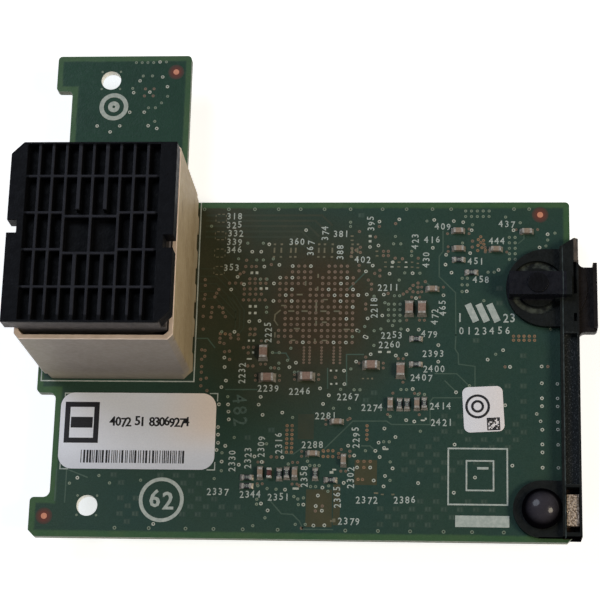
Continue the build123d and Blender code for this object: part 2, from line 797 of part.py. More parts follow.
pieces = {
    "circuit_board": circuit_board(),
    "connector_housing": connector_housing(),
    "connector_wafers": connector_wafers(),
    "connector_contacts": connector_contacts(),
    "connector_solder_joints": connector_solder(),
    "connector_cap": connector_cap(),
    "edge_rail": edge_rail(),
    "retaining_pin": retaining_pin(),
    "dome_button": dome_button(),
    "edge_contact_pad": edge_contact_pad(),
    "large_label": large_label(),
    "small_label": small_label(),
    "small_capacitor_bodies": group(chip_bodies(small_chip, *small_caps)),
    "small_capacitor_ends": group(chip_ends(small_chip, *small_caps)),
    "large_capacitor_bodies": group(chip_bodies(large_chip, *large_caps)),
    "large_capacitor_ends": group(chip_ends(large_chip, *large_caps)),
    "resistor_bodies": group(chip_bodies(resistor_chip, *resistors)),
    "resistor_ends": group(chip_ends(resistor_chip, *resistors)),
    "controller_balls": controller_balls(),
    "controller_base": controller_base(),
    "controller_cover": controller_cover(),
    "thermal_pad": thermal_pad(),
    "heat_sink": heat_sink(),
    "inductor_bodies": inductor_bodies(),
    "inductor_feet": inductor_feet(),
    "can_capacitors": can_capacitors(),
    "can_bases": can_bases(),
    "regulators": regulators(),
    "memory_bodies": memory_bodies(),
    "memory_leads": memory_leads(),
    "crystal_base": crystal_base(),
    "crystal_lid": crystal_lid(),
    "bulk_capacitor_bodies": bulk_cap_bodies(),
    "bulk_capacitor_feet": bulk_cap_feet(),
    "rear_capacitor_bodies": rear_chip_bodies(),
    "rear_capacitor_ends": rear_chip_ends(),
}

# The finished card stands with the middle of its footprint at X 0, Y 0 and its lowest faces at Z 0.
box = Compound(children=[piece.moved(Location()) for piece in pieces.values()]).bounding_box()
to_origin = Pos(-(box.min.X + box.max.X) / 2, -(box.min.Y + box.max.Y) / 2, -box.min.Z)

os.makedirs("parts", exist_ok=True)
for name, piece in pieces.items():
    export_step(to_origin * piece, f"parts/{name}.step")
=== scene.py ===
import math
import random

import bmesh
import bpy
from mathutils import Matrix, Vector


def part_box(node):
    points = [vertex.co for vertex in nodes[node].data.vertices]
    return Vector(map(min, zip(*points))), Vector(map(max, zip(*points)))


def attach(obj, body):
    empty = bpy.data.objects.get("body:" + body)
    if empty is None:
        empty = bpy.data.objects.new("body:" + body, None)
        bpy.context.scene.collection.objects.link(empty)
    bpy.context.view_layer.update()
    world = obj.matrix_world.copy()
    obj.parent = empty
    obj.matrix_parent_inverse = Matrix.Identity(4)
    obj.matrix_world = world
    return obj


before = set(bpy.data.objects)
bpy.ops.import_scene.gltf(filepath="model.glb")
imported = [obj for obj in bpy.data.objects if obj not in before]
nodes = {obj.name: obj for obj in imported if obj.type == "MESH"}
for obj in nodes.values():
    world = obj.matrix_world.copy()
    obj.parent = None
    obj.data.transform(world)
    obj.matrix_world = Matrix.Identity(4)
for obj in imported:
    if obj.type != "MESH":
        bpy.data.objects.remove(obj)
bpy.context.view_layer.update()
scene = bpy.context.scene
scene.view_settings.view_transform = "Standard"


# Camera, floor and soft studio light.
# The card is seen from the front right, 17 degrees from straight above, as in the photograph. A warm
# light stands at the right and a cooler one behind at the left, on a pale floor.
camera = bpy.data.objects.new("camera", bpy.data.cameras.new("camera"))
camera.data.lens = 119.105
camera.data.sensor_width = 36.0
camera.data.clip_start = 0.01
camera.location = (0.022879, -0.097152, 0.320013)
camera.rotation_euler = [math.radians(turn) for turn in (16.9962, 4.2348, 1.4843)]
scene.collection.objects.link(camera)
scene.camera = camera


def paint(red, green, blue):
    """A colour given as on a screen, from 0 to 255, turned into the shader's own scale."""
    return tuple((value / 255) ** 2.2 for value in (red, green, blue))


def new_material(name, colour=(128, 128, 128), roughness=0.5, **sockets):
    """A node material; further words set the shader's own sockets, with _ for a space."""
    material = bpy.data.materials.new(name)
    material.use_nodes = True
    shader = material.node_tree.nodes["Principled BSDF"]
    shader.inputs["Base Color"].default_value = (*paint(*colour), 1.0)
    shader.inputs["Roughness"].default_value = roughness
    for socket, value in sockets.items():
        shader.inputs[socket.replace("_", " ")].default_value = value
    return material


def add_node(material, kind, inputs=(), **settings):
    """Adds a shader node, sets or links its inputs, and returns its first output."""
    node = material.node_tree.nodes.new("ShaderNode" + kind)
    for name, value in settings.items():
        setattr(node, name, value)
    for name, value in dict(inputs).items():
        if isinstance(value, bpy.types.NodeSocket):
            material.node_tree.links.new(value, node.inputs[name])
        else:
            node.inputs[name].default_value = value
    return node.outputs[0]


def place_in(material, stretch=(1000.0, 1000.0, 1000.0)):
    """Object coordinates in millimetres, stretched or squeezed along an axis if asked."""
    coordinates = material.node_tree.nodes.new("ShaderNodeTexCoord")
    return add_node(material, "VectorMath", {0: coordinates.outputs["Object"], 1: stretch}, operation="MULTIPLY")


def noise(material, scale, detail=3.0, place=None, low=0.0, high=1.0):
    """A cloudy value from low to high, with so many features a millimetre."""
    inputs = {"Vector": place or place_in(material), "Scale": scale, "Detail": detail}
    cloud = add_node(material, "TexNoise", inputs)
    inputs = {"Value": cloud, "From Min": 0.3, "From Max": 0.7, "To Min": low, "To Max": high}
    return add_node(material, "MapRange", inputs)


def between(material, value, start, end, low=0.0, high=1.0):
    """A smooth step from low to high while the value goes from start to end."""
    inputs = {"Value": value, "From Min": start, "From Max": end, "To Min": low, "To Max": high}
    return add_node(material, "MapRange", inputs, interpolation_type="SMOOTHSTEP")


def mix(material, factor, first, second, blend="MIX"):
    """Mixes two colours; each is a socket or a screen colour."""
    node = material.node_tree.nodes.new("ShaderNodeMix")
    node.data_type = "RGBA"
    node.blend_type = blend
    for index, value in ((0, factor), (6, first), (7, second)):
        if isinstance(value, bpy.types.NodeSocket):
            material.node_tree.links.new(value, node.inputs[index])
        else:
            node.inputs[index].default_value = (*paint(*value), 1.0) if index else value
    return node.outputs[2]


def cloudy(material, scale, first, second, detail=3.0):
    """Cloudy changes from one colour to another."""
    return mix(material, noise(material, scale, detail), first, second)


def calc(material, operation, first, second=0.0):
    """One operation on two numbers or sockets."""
    return add_node(material, "Math", {0: first, 1: second}, operation=operation)


def times(material, first, second):
    """The product of two numbers or sockets."""
    return calc(material, "MULTIPLY", first, second)


def vector(material, operation, first, second=(0.0, 0.0, 0.0)):
    """One operation on two places or directions."""
    return add_node(material, "VectorMath", {0: first, 1: second}, operation=operation)


def length_of(material, direction):
    """How long a direction is."""
    node = material.node_tree.nodes.new("ShaderNodeVectorMath")
    node.operation = "LENGTH"
    material.node_tree.links.new(direction, node.inputs[0])
    return node.outputs["Value"]


def drive(material, socket, value):
    """Links a value to one of the shader's own sockets."""
    shader = material.node_tree.nodes["Principled BSDF"]
    material.node_tree.links.new(value, shader.inputs[socket])


def surface(material, colour=None, roughness=None, height=None, depth=0.05):
    """Links a colour, a roughness and a relief in millimetres to the shader."""
    if colour:
        drive(material, "Base Color", colour)
    if roughness:
        drive(material, "Roughness", roughness)
    if height:
        relief = {"Height": height, "Strength": 1.0, "Distance": depth / 1000}
        drive(material, "Normal", add_node(material, "Bump", relief))
    return material


def cloudy_paint(name, colour, roughness, clouds, first, second, relief, depth, **sockets):
    """A paint or skin with cloudy changes between two colours and a fine relief."""
    material = new_material(name, colour, roughness, **sockets)
    tone = mix(material, noise(material, *clouds), first, second)
    return surface(material, tone, height=noise(material, relief), depth=depth)


def piece(name, body, *materials):
    """Turns a mesh in the making into an object in the scene, with its materials."""
    bmesh.ops.recalc_face_normals(body, faces=body.faces)
    mesh = bpy.data.meshes.new(name)
    body.to_mesh(mesh)
    body.free()
    for material in materials:
        mesh.materials.append(material)
    made = bpy.data.objects.new(name, mesh)
    scene.collection.objects.link(made)
    return made


sheet = bmesh.new()
bmesh.ops.create_grid(sheet, x_segments=8, y_segments=8, size=1.5, matrix=Matrix.Translation((0, 0, -0.00005)))
floor_paint = new_material("pale_floor", (243, 243, 243), 0.9, Emission_Color=(1, 1, 1, 1), Emission_Strength=0.68)
floor_paint = surface(floor_paint, roughness=noise(floor_paint, 0.05, low=0.85, high=0.95))
floor = piece("floor", sheet, floor_paint)

world = bpy.data.worlds.new("studio")
world.use_nodes = True
world.node_tree.nodes["Background"].inputs["Color"].default_value = (0.95, 0.97, 1.0, 1.0)
world.node_tree.nodes["Background"].inputs["Strength"].default_value = 0.06
scene.world = world


def soft_light(name, place, size, power, colour):
    """A soft oval studio light aimed at the card."""
    data = bpy.data.lights.new(name, "AREA")
    data.shape = "ELLIPSE"
    data.size, data.size_y = size
    data.energy = power
    data.color = colour
    light = bpy.data.objects.new(name, data)
    light.location = place
    light.rotation_euler = (-Vector(place)).to_track_quat("-Z", "Y").to_euler()
    light.visible_glossy = name != "fill_light"
    scene.collection.objects.link(light)


soft_light("warm_light", (0.78, -0.20, 0.74), (0.45, 0.45), 5.6, (1.0, 0.88, 0.68))
soft_light("cool_light", (-0.55, 0.5, 0.85), (0.7, 0.7), 4.9, (0.78, 0.86, 1.0))
soft_light("fill_light", (-0.35, -0.75, 0.7), (0.5, 0.5), 1.1, (0.84, 0.9, 1.0))


# Circuit board.
# Glass-epoxy laminate under a dark green solder mask. The copper planes inside end a millimetre short
# of the routed edge, where the mask looks lighter; round the controller the dense copper tints it brown.
board_low, board_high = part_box("circuit_board")
corner_mm = (board_low[0] * 1000, board_low[1] * 1000, board_high[2] * 1000)


def at(x, y, z=0.0):
    """A place in millimetres from the board's lower left corner and its upper face."""
    return Vector((board_low[0] + x / 1000, board_low[1] + y / 1000, board_high[2] + z / 1000))


def dress(node, material):
    """Gives every slot of a CAD node one material."""
    for slot in nodes[node].material_slots:
        slot.material = material


def on_board(material):
    """The place in millimetres from the board's lower left corner and upper face."""
    return vector(material, "SUBTRACT", place_in(material), corner_mm)


def split(material, vector):
    """The three numbers of a place."""
    node = material.node_tree.nodes.new("ShaderNodeSeparateXYZ")
    material.node_tree.links.new(vector, node.inputs[0])
    return node.outputs


def depth_in_box(material, place, x0, y0, x1, y1):
    """How deep a place lies inside a rectangle, in millimetres; below zero outside it."""
    middle = ((x0 + x1) / 2, (y0 + y1) / 2, 0.0)
    half = ((x1 - x0) / 2, (y1 - y0) / 2, 0.0)
    away = vector(material, "SUBTRACT", place, middle)
    away = vector(material, "ABSOLUTE", away)
    left = split(material, vector(material, "SUBTRACT", half, away))
    return calc(material, "MINIMUM", left[0], left[1])


def nearness(material, place, x, y, width, height):
    """One at a point, falling to zero at the rim of an ellipse about it."""
    away = vector(material, "SUBTRACT", place, (x, y, 0.0))
    scaled = vector(material, "MULTIPLY", away, (1 / width, 1 / height, 0.0))
    return between(material, length_of(material, scaled), 1.0, 0.35)


mask = new_material("green_solder_mask", (42, 60, 50), 0.42, Specular_IOR_Level=0.25)
spot = on_board(mask)
ripple = vector(mask, "ADD", spot, noise(mask, 0.7, 3.0, low=-0.06, high=0.06))
inner = depth_in_box(mask, ripple, 0.0, 0.0, 87.3, 56.9)
inner = calc(mask, "MAXIMUM", inner, depth_in_box(mask, ripple, 0.0, 40.0, 23.2, 83.7))
for cut in ((-9.0, 60.5, 2.8, 77.2), (-9.0, 6.4, 3.2, 23.8)):
    inner = calc(mask, "MINIMUM", inner, times(mask, depth_in_box(mask, ripple, *cut), -1.0))
plane = between(mask, inner, 0.75, 1.25)
teal = cloudy(mask, 0.08, (52, 74, 62), (47, 72, 65))
brown = cloudy(mask, 0.2, (64, 65, 50), (56, 62, 47), 4.0)
tint = nearness(mask, ripple, 41.0, 38.0, 27.0, 24.0)
tint = calc(mask, "MAXIMUM", tint, nearness(mask, ripple, 27.0, 47.0, 16.0, 24.0))
base = mix(mask, tint, teal, brown)
base = mix(mask, nearness(mask, ripple, 46.0, 38.5, 10.5, 12.5), base, (66, 56, 38))
edge_tone = cloudy(mask, 0.3, (63, 96, 66), (72, 100, 68))
base = mix(mask, plane, edge_tone, base)
tab = between(mask, split(mask, spot)[1], 56.0, 68.0)
base = mix(mask, times(mask, tab, plane), base, cloudy(mask, 0.15, (36, 70, 54), (32, 64, 50)))
slot = depth_in_box(mask, spot, 85.6, 0.5, 88.5, 8.9)
base = mix(mask, between(mask, slot, -0.1, 0.1), base, cloudy(mask, 1.5, (64, 48, 36), (40, 32, 26)))
speckle = noise(mask, 6.0, 2.0, low=0.86, high=1.12)
base = mix(mask, 1.0, base, add_node(mask, "CombineColor", {0: speckle, 1: speckle, 2: speckle}), blend="MULTIPLY")
side = between(mask, split(mask, spot)[2], -0.03, -0.06)
under = between(mask, split(mask, spot)[2], -1.54, -1.57)
rim_tone = cloudy(mask, 1.2, (58, 78, 52), (84, 84, 60), 4.0)
screw_holes = ((9.4, 79.2), (9.4, 5.1))
for x, y in screw_holes:
    rim_tone = mix(mask, nearness(mask, spot, x, y, 3.4, 3.4), rim_tone, (246, 244, 236))
base = mix(mask, calc(mask, "SUBTRACT", side, under), base, rim_tone)
mask = surface(mask, base, noise(mask, 1.5, 3.0, low=0.36, high=0.5), noise(mask, 3.0, 3.0), depth=0.012)
dress("circuit_board", mask)


# Tracks and filler squares in the outer copper.
# Etched copper 0.03 mm thick shows through the mask as thin raised lines and faint small squares.
def add_strip(body, points, width, height):
    """Adds a flat strip along a line of points on the board."""
    for index, (start, end) in enumerate(zip(points, points[1:])):
        run = Vector(end) - Vector(start)
        middle = (Vector(start) + Vector(end)) / 2
        size = Matrix.Diagonal(((run.length + width) / 1000, width / 1000, 1.0, 1.0))
        turn = Matrix.Rotation(math.atan2(run.y, run.x), 4, "Z")
        step = 0.004 * (index % 2)
        place = Matrix.Translation(at(middle.x, middle.y, height + step)) @ turn @ size
        bmesh.ops.create_grid(body, x_segments=1, y_segments=1, size=0.5, matrix=place)


def see_through_mask(name, colour, other):
    """Mask over copper: one tone with cloudy changes to another."""
    return cloudy_paint(name, colour, 0.42, (0.4,), colour, other, 4.0, 0.01, Specular_IOR_Level=0.35)


tracks = bmesh.new()
for line in (
    [(68.65, 33.94), (68.55, 31.56), (69.03, 30.77), (69.1, 29.0), (71.76, 28.65), (71.76, 25.2)],
    [(66.47, 51.8), (66.49, 48.29), (65.86, 47.46), (65.88, 43.9), (68.56, 41.18), (68.65, 33.94)],
    [(47.64, 14.82), (52.09, 19.38), (57.53, 19.42), (58.33, 18.87), (64.55, 18.9), (64.52, 22.67), (65.0, 23.35),
     (69.6, 23.4)],
    [(38.81, 6.46), (40.91, 4.09), (42.72, 4.0), (43.87, 2.88), (44.46, 1.64), (49.17, 1.63)],
    [(40.94, 14.99), (41.08, 13.95), (42.56, 13.85), (43.9, 14.78)],
    [(47.88, 24.85), (47.8, 28.15)],
    [(50.95, 25.34), (50.85, 30.54), (53.6, 30.56)],
    [(26.16, 33.16), (27.9, 33.17), (29.13, 31.62)],
    [(31.24, 24.5), (36.31, 24.53)],
    [(53.7, 44.6), (50.9, 41.6)], [(38.7, 30.75), (40.9, 30.7), (41.5, 29.7)],
    [(53.6, 15.3), (54.9, 15.3), (55.7, 14.6)], [(78.9, 49.7), (79.8, 50.5), (79.8, 51.3)],
    [(65.3, 27.4), (68.8, 27.4), (70.5, 25.7)], [(66.9, 26.2), (68.6, 24.5)],
    [(63.6, 43.0), (64.5, 42.3)], [(4.1, 11.0), (4.1, 5.8)], [(5.75, 10.9), (5.75, 5.6)], [(6.1, 10.9), (9.2, 9.7)],
):
    add_strip(tracks, line, 0.2, 0.012)
mask_tracks_paint = see_through_mask("track_under_mask", (82, 102, 90), (68, 90, 78))
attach(piece("mask_tracks", tracks, mask_tracks_paint), "root")

faint_tracks = bmesh.new()
for number in range(5):
    y, bend = 54.6 - 0.95 * number, 46.3 - 1.1 * number
    add_strip(faint_tracks, [(27.0, y), (bend, y), (bend + 1.7, y - 1.7)], 0.36, 0.008)
    y = 45.2 - 1.3 * number
    add_strip(faint_tracks, [(26.4, y), (29.0, y), (32.4, y - 3.6)], 0.18, 0.008)
for number in range(3):
    x = 31.0 + 0.7 * number
    add_strip(faint_tracks, [(x, 40.2), (x + 1.4, 38.0), (x + 1.4, 35.0), (x + 0.4, 33.6)], 0.2, 0.008)
add_strip(faint_tracks, [(44.5, 17.6), (44.5, 19.2)], 2.6, 0.004)
faint_tracks_paint = see_through_mask("faint_track_under_mask", (64, 70, 54), (56, 66, 52))
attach(piece("faint_tracks", faint_tracks, faint_tracks_paint), "root")

squares, square_edges = bmesh.new(), bmesh.new()
square_pitch = 2.54
for row, columns in {
    0: (-21, -5, -4, -3, -2), 1: (-22, -21, -18, -17, -16, -15, -5, -4, -3, -2, -1),
    2: (-21, -17, -16, -15, -14, -5, -4, -3, -2, -1, 0, 1, 2), 3: (-22, -21, -17, -16, -3, -2, 0, 1), 4: (-17,),
    5: (-22, -18, -17, -2), 6: (-22, -19, -18, -17, -1), 7: (-4, -3, -2, -1), 8: (-3, -2, -1, 0, 1, 2),
    9: (-4, -3, -2), 10: (-3, -2, 1, 2, 3), 11: (-14, -2, 0, 1, 2, 3), 12: (-12, -1, 0, 3, 4), 13: (-1, 3),
    14: (-1, 0, 4), 16: (-6, 4), 17: (-6,), 18: (2, 3, 4), 20: (4,), 22: (4,), 24: (1,), 29: (2,), 31: (2,),
    41: (-7,),
}.items():
    for column in columns:
        x = 69.4 + square_pitch * column + (square_pitch / 2 if row % 2 else 0.0)
        y = 2.55 + square_pitch / 2 * row
        add_strip(squares, [(x - 0.12, y), (x + 0.12, y)], 0.84, 0.006)
        add_strip(square_edges, [(x - 0.3, y + 0.1), (x - 0.3, y - 0.1)], 0.3, 0.012)
        add_strip(square_edges, [(x + 0.25, y + 0.25), (x + 0.25, y - 0.25)], 0.14, 0.012)
filler_squares_paint = see_through_mask("square_under_mask", (60, 80, 70), (54, 74, 64))
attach(piece("filler_squares", squares, filler_squares_paint), "root")
square_edges_paint = see_through_mask("square_edge_under_mask", (76, 94, 84), (66, 84, 74))
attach(piece("square_edges", square_edges, square_edges_paint), "root")

patches = bmesh.new()
for points, width in (
    ([(46.9, 4.1), (46.9, 6.0)], 4.2), ([(49.72, 2.9), (49.72, 8.4)], 1.1), ([(54.3, 10.7), (54.3, 11.2)], 3.6),
):
    add_strip(patches, points, width, 0.004)
copper_patches_paint = see_through_mask("patch_under_mask", (78, 76, 54), (70, 72, 52))
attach(piece("copper_patches", patches, copper_patches_paint), "root")


# Plated vias.
# Every hole through the board has a copper ring: tinned, under the mask, bare or stained by flux. They
# stitch the planes along the edges, fan out over the controller's ball grid and stand beside most chips.
def add_ring(body, x, y, outer=0.62, hole=0.24, height=0.02, segments=12):
    """Adds a flat ring with a hole that takes the second material."""
    place = Matrix.Translation(at(x, y, height))
    made = bmesh.ops.create_circle(body, cap_ends=True, segments=segments, radius=outer / 2000, matrix=place)
    middle = made["verts"][0].link_faces[0]
    wall = (outer - hole) / 2000
    bmesh.ops.inset_region(body, faces=[middle], thickness=wall, use_boundary=True, use_even_offset=True)
    middle.material_index = 1


def add_ring_rows(body, x, y, columns, rows, pitch_x, pitch_y, size):
    """Adds rings in columns and rows from their lower left place."""
    for column in range(columns):
        for row in range(rows):
            add_ring(body, x + pitch_x * column, y + pitch_y * row, **size)


def open_rings(body):
    """Takes the middles out of rings, so that what lies under them shows."""
    middles = [face for face in body.faces if face.material_index == 1]
    bmesh.ops.delete(body, geom=middles, context="FACES")


def plating(name, colour, other, roughness=0.45, metallic=0.3):
    """Thin copper or tin with cloudy stains."""
    return cloudy_paint(name, colour, roughness, (0.9,), colour, other, 8.0, 0.01, Metallic=metallic)


grid_left, grid_top, grid_pitch = 39.6, 45.7, 1.01
tinned_size, covered_size = {"outer": 0.6, "hole": 0.27}, {"outer": 0.52, "hole": 0.18}
bare_size = {"outer": 0.54, "hole": 0.2, "height": 0.016}
gilt_size = {"outer": 0.54, "hole": 0.2, "height": 0.018}
hole_dark = plating("via_hole", (30, 36, 28), (44, 46, 36), 0.7, 0.0)
grid_tinned = {
    (-1, 3), (-1, 6), (0, 2), (2, 2), (11, 2), (10, 3), (2, 4), (8, 4), (12, 4), (1, 5), (9, 5), (11, 5), (2, 6),
    (10, 6), (12, 7), (11, 9), (4, 13), (9, 13), (11, 13), (5, 0), (2, 0),
}
grid_gaps = {
    (6, 2), (6, 3), (3, 4), (4, 4), (3, 5), (4, 5), (8, 6), (0, 7), (0, 8), (2, 8), (4, 8), (7, 8), (9, 8), (0, 9),
    (0, 10), (6, 12), (3, 12), (1, 13),
}
tinned = bmesh.new()
for column, row in sorted(grid_tinned):
    add_ring(tinned, grid_left + grid_pitch * column, grid_top - grid_pitch * row, 0.6, 0.28)
for x, y in (
    (46.1, 2.25), (47.85, 2.3), (46.7, 7.1), (46.4, 5.4), (47.4, 4.65), (52.9, 11.75), (55.0, 11.75), (55.6, 9.65),
    (44.4, 5.6), (47.4, 8.4), (38.7, 4.6), (37.6, 5.7), (41.4, 8.0), (57.2, 8.7), (50.8, 9.2), (62.7, 9.3),
    (7.6, 9.6), (57.4, 10.4), (58.6, 11.65), (31.0, 12.5), (33.8, 12.0), (36.3, 13.4), (37.5, 12.5), (40.8, 13.3),
    (56.5, 13.5), (52.4, 13.7), (30.1, 14.4), (55.8, 14.5), (31.5, 15.1), (57.2, 15.0), (51.4, 15.3), (30.3, 15.6),
    (56.3, 15.85), (59.0, 16.8), (30.25, 16.95), (30.2, 18.2), (57.2, 18.2), (31.9, 19.5), (62.0, 19.4),
    (60.7, 19.6), (37.4, 20.3), (40.6, 20.7), (31.8, 20.8), (62.4, 21.7), (31.7, 22.0), (36.7, 22.0), (30.2, 22.0),
    (76.6, 22.2), (47.2, 22.2), (59.6, 22.9), (37.0, 23.3), (48.1, 23.65), (68.7, 24.3), (46.65, 24.8),
    (61.7, 24.8), (30.5, 24.9), (50.6, 25.55), (31.2, 26.0), (50.5, 27.8), (30.9, 28.3), (41.55, 28.35),
    (77.4, 28.6), (42.6, 29.1), (52.45, 29.35), (65.8, 29.4), (73.8, 29.8), (30.8, 29.9), (58.9, 30.4),
    (54.8, 30.6), (60.6, 30.6), (76.3, 31.4), (65.8, 32.2), (54.1, 33.45), (53.75, 33.6), (32.3, 34.3),
    (52.5, 34.65), (60.8, 34.75), (62.6, 34.8), (34.7, 36.1), (36.4, 36.2), (54.2, 36.7), (56.6, 37.2),
    (62.1, 40.2), (52.6, 40.7), (66.6, 40.7), (54.0, 40.8), (56.8, 40.8), (70.4, 41.4), (31.5, 41.6), (33.6, 42.5),
    (32.5, 43.8), (57.7, 44.4), (61.5, 44.5), (67.9, 44.6), (53.8, 44.8), (75.6, 45.1), (36.9, 45.6), (54.9, 45.8),
    (39.4, 45.9), (66.9, 46.0), (58.2, 46.4), (67.0, 47.7), (70.95, 48.0), (34.8, 48.2), (36.3, 48.2), (64.8, 48.9),
    (82.35, 49.0), (54.4, 49.05), (55.8, 49.3), (37.6, 49.5), (83.7, 51.3), (71.2, 52.0), (78.1, 52.0),
    (43.7, 52.0), (69.8, 53.4), (55.9, 53.5), (68.25, 53.6), (65.0, 53.8), (59.2, 53.9), (68.4, 7.8), (71.75, 10.3),
    (77.7, 12.3), (68.5, 15.65), (20.35, 2.2), (9.7, 69.7), (17.7, 70.3), (7.4, 70.8), (11.3, 70.8), (16.2, 70.8),
    (12.9, 73.3), (15.4, 73.3), (13.4, 76.9), (16.2, 77.0), (19.2, 78.0), (14.4, 79.1), (18.3, 79.8), (17.7, 82.6),
):
    add_ring(tinned, x, y, **tinned_size)
for y in (12.0, 14.5, 15.8, 18.2, 22.1, 23.4, 25.9, 28.7):
    add_ring(tinned, 82.5, y, **tinned_size)
for x, y in (
    (82.25, 19.6), (81.65, 20.8), (85.0, 12.0), (85.0, 15.75), (85.0, 18.25), (85.0, 19.5), (85.0, 22.05),
    (85.0, 23.4), (85.0, 25.8),
):
    add_ring(tinned, x, y, 0.54, 0.27)
tin_paint = plating("via_tin", (206, 210, 198), (168, 174, 160), 0.4, 0.0)
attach(piece("tinned_vias", tinned, tin_paint, hole_dark), "root")

covered = bmesh.new()
for x in (26.5, 30.6, 35.0, 39.0, 42.7, 46.7, 51.05, 56.4, 60.4, 64.7, 67.8, 78.2, 80.7):
    add_ring(covered, x, 55.7, 0.6, 0.3)
for x in (14.1, 19.65, 25.6, 30.1, 34.8, 40.4, 51.2, 56.4, 61.5, 66.8, 71.3, 76.3):
    add_ring(covered, x, 1.5, 0.6, 0.3)
for x, y, columns, rows, pitch in (
    (70.2, 54.4, 5, 2, 0.97), (69.65, 41.35, 1, 3, 1.15), (70.5, 42.5, 1, 2, 1.15), (45.3, 12.0, 3, 1, 0.75),
    (58.55, 40.6, 2, 1, 0.85), (36.3, 43.4, 2, 1, 1.1), (55.3, 32.1, 1, 2, 2.5), (57.6, 36.3, 3, 4, 0.95),
    (51.1, 52.65, 1, 2, 0.75), (77.4, 46.95, 2, 5, 0.95), (14.9, 80.0, 2, 1, 1.6), (16.1, 74.1, 2, 1, 1.2),
    (13.6, 82.5, 4, 1, 1.0), (58.2, 9.7, 1, 2, 3.0), (57.1, 16.0, 2, 1, 0.9), (62.6, 23.9, 2, 1, 1.0),
    (59.8, 24.7, 2, 1, 0.9), (73.9, 44.7, 2, 1, 1.0), (43.2, 2.4, 2, 1, 1.6), (37.5, 37.7, 1, 2, 0.85),
    (45.5, 8.55, 2, 1, 0.8), (36.9, 5.6, 1, 2, 0.8), (61.3, 47.55, 1, 2, 0.75), (52.2, 24.6, 2, 1, 0.95),
    (48.9, 21.5, 2, 1, 2.6), (58.3, 49.6, 2, 1, 1.2), (42.4, 27.5, 2, 1, 0.6), (39.8, 28.1, 1, 2, 0.9),
    (38.7, 30.8, 2, 1, 1.1), (35.6, 46.75, 2, 1, 1.1),
):
    add_ring_rows(covered, x, y, columns, rows, pitch, pitch, covered_size)
for x, y in (
    (18.3, 75.0), (18.8, 82.6), (13.2, 77.7), (19.3, 76.2), (17.3, 71.6), (12.9, 8.8), (17.95, 9.3), (11.1, 10.0),
    (6.35, 8.7), (29.9, 9.7), (36.4, 2.1), (38.3, 3.4), (63.0, 17.8), (58.1, 20.2), (75.1, 30.7), (84.0, 35.0),
    (83.7, 50.3), (79.2, 53.3), (63.8, 53.6), (27.8, 52.7), (34.0, 49.7), (36.6, 49.7), (38.35, 46.95),
    (32.55, 46.95), (41.2, 29.5), (38.5, 28.2), (41.7, 31.55), (50.0, 24.65), (51.6, 28.1), (51.75, 33.55),
    (52.8, 34.5), (53.75, 35.3), (56.4, 34.9), (58.3, 35.5), (59.7, 34.9), (55.2, 40.5), (57.0, 39.4), (38.2, 15.5),
    (32.9, 16.5), (31.6, 23.3), (31.0, 13.95), (31.0, 11.0), (42.3, 19.9), (41.8, 12.2), (44.9, 12.7), (38.5, 8.15),
    (39.95, 8.05), (48.4, 8.7), (48.3, 7.8), (42.85, 6.9), (43.5, 6.5), (44.4, 6.7), (43.6, 5.6), (37.0, 8.6),
    (54.2, 14.5), (58.6, 50.9), (59.3, 43.3), (60.2, 44.55), (62.7, 44.5), (70.85, 25.4), (76.8, 54.3),
    (84.9, 51.5), (83.4, 49.25), (73.2, 39.8), (71.35, 52.95), (69.7, 49.75), (30.2, 34.3),
):
    add_ring(covered, x, y, **covered_size)
mask_ring = plating("via_under_mask", (136, 150, 130), (112, 128, 110), 0.45, 0.0)
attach(piece("covered_vias", covered, mask_ring, hole_dark), "root")

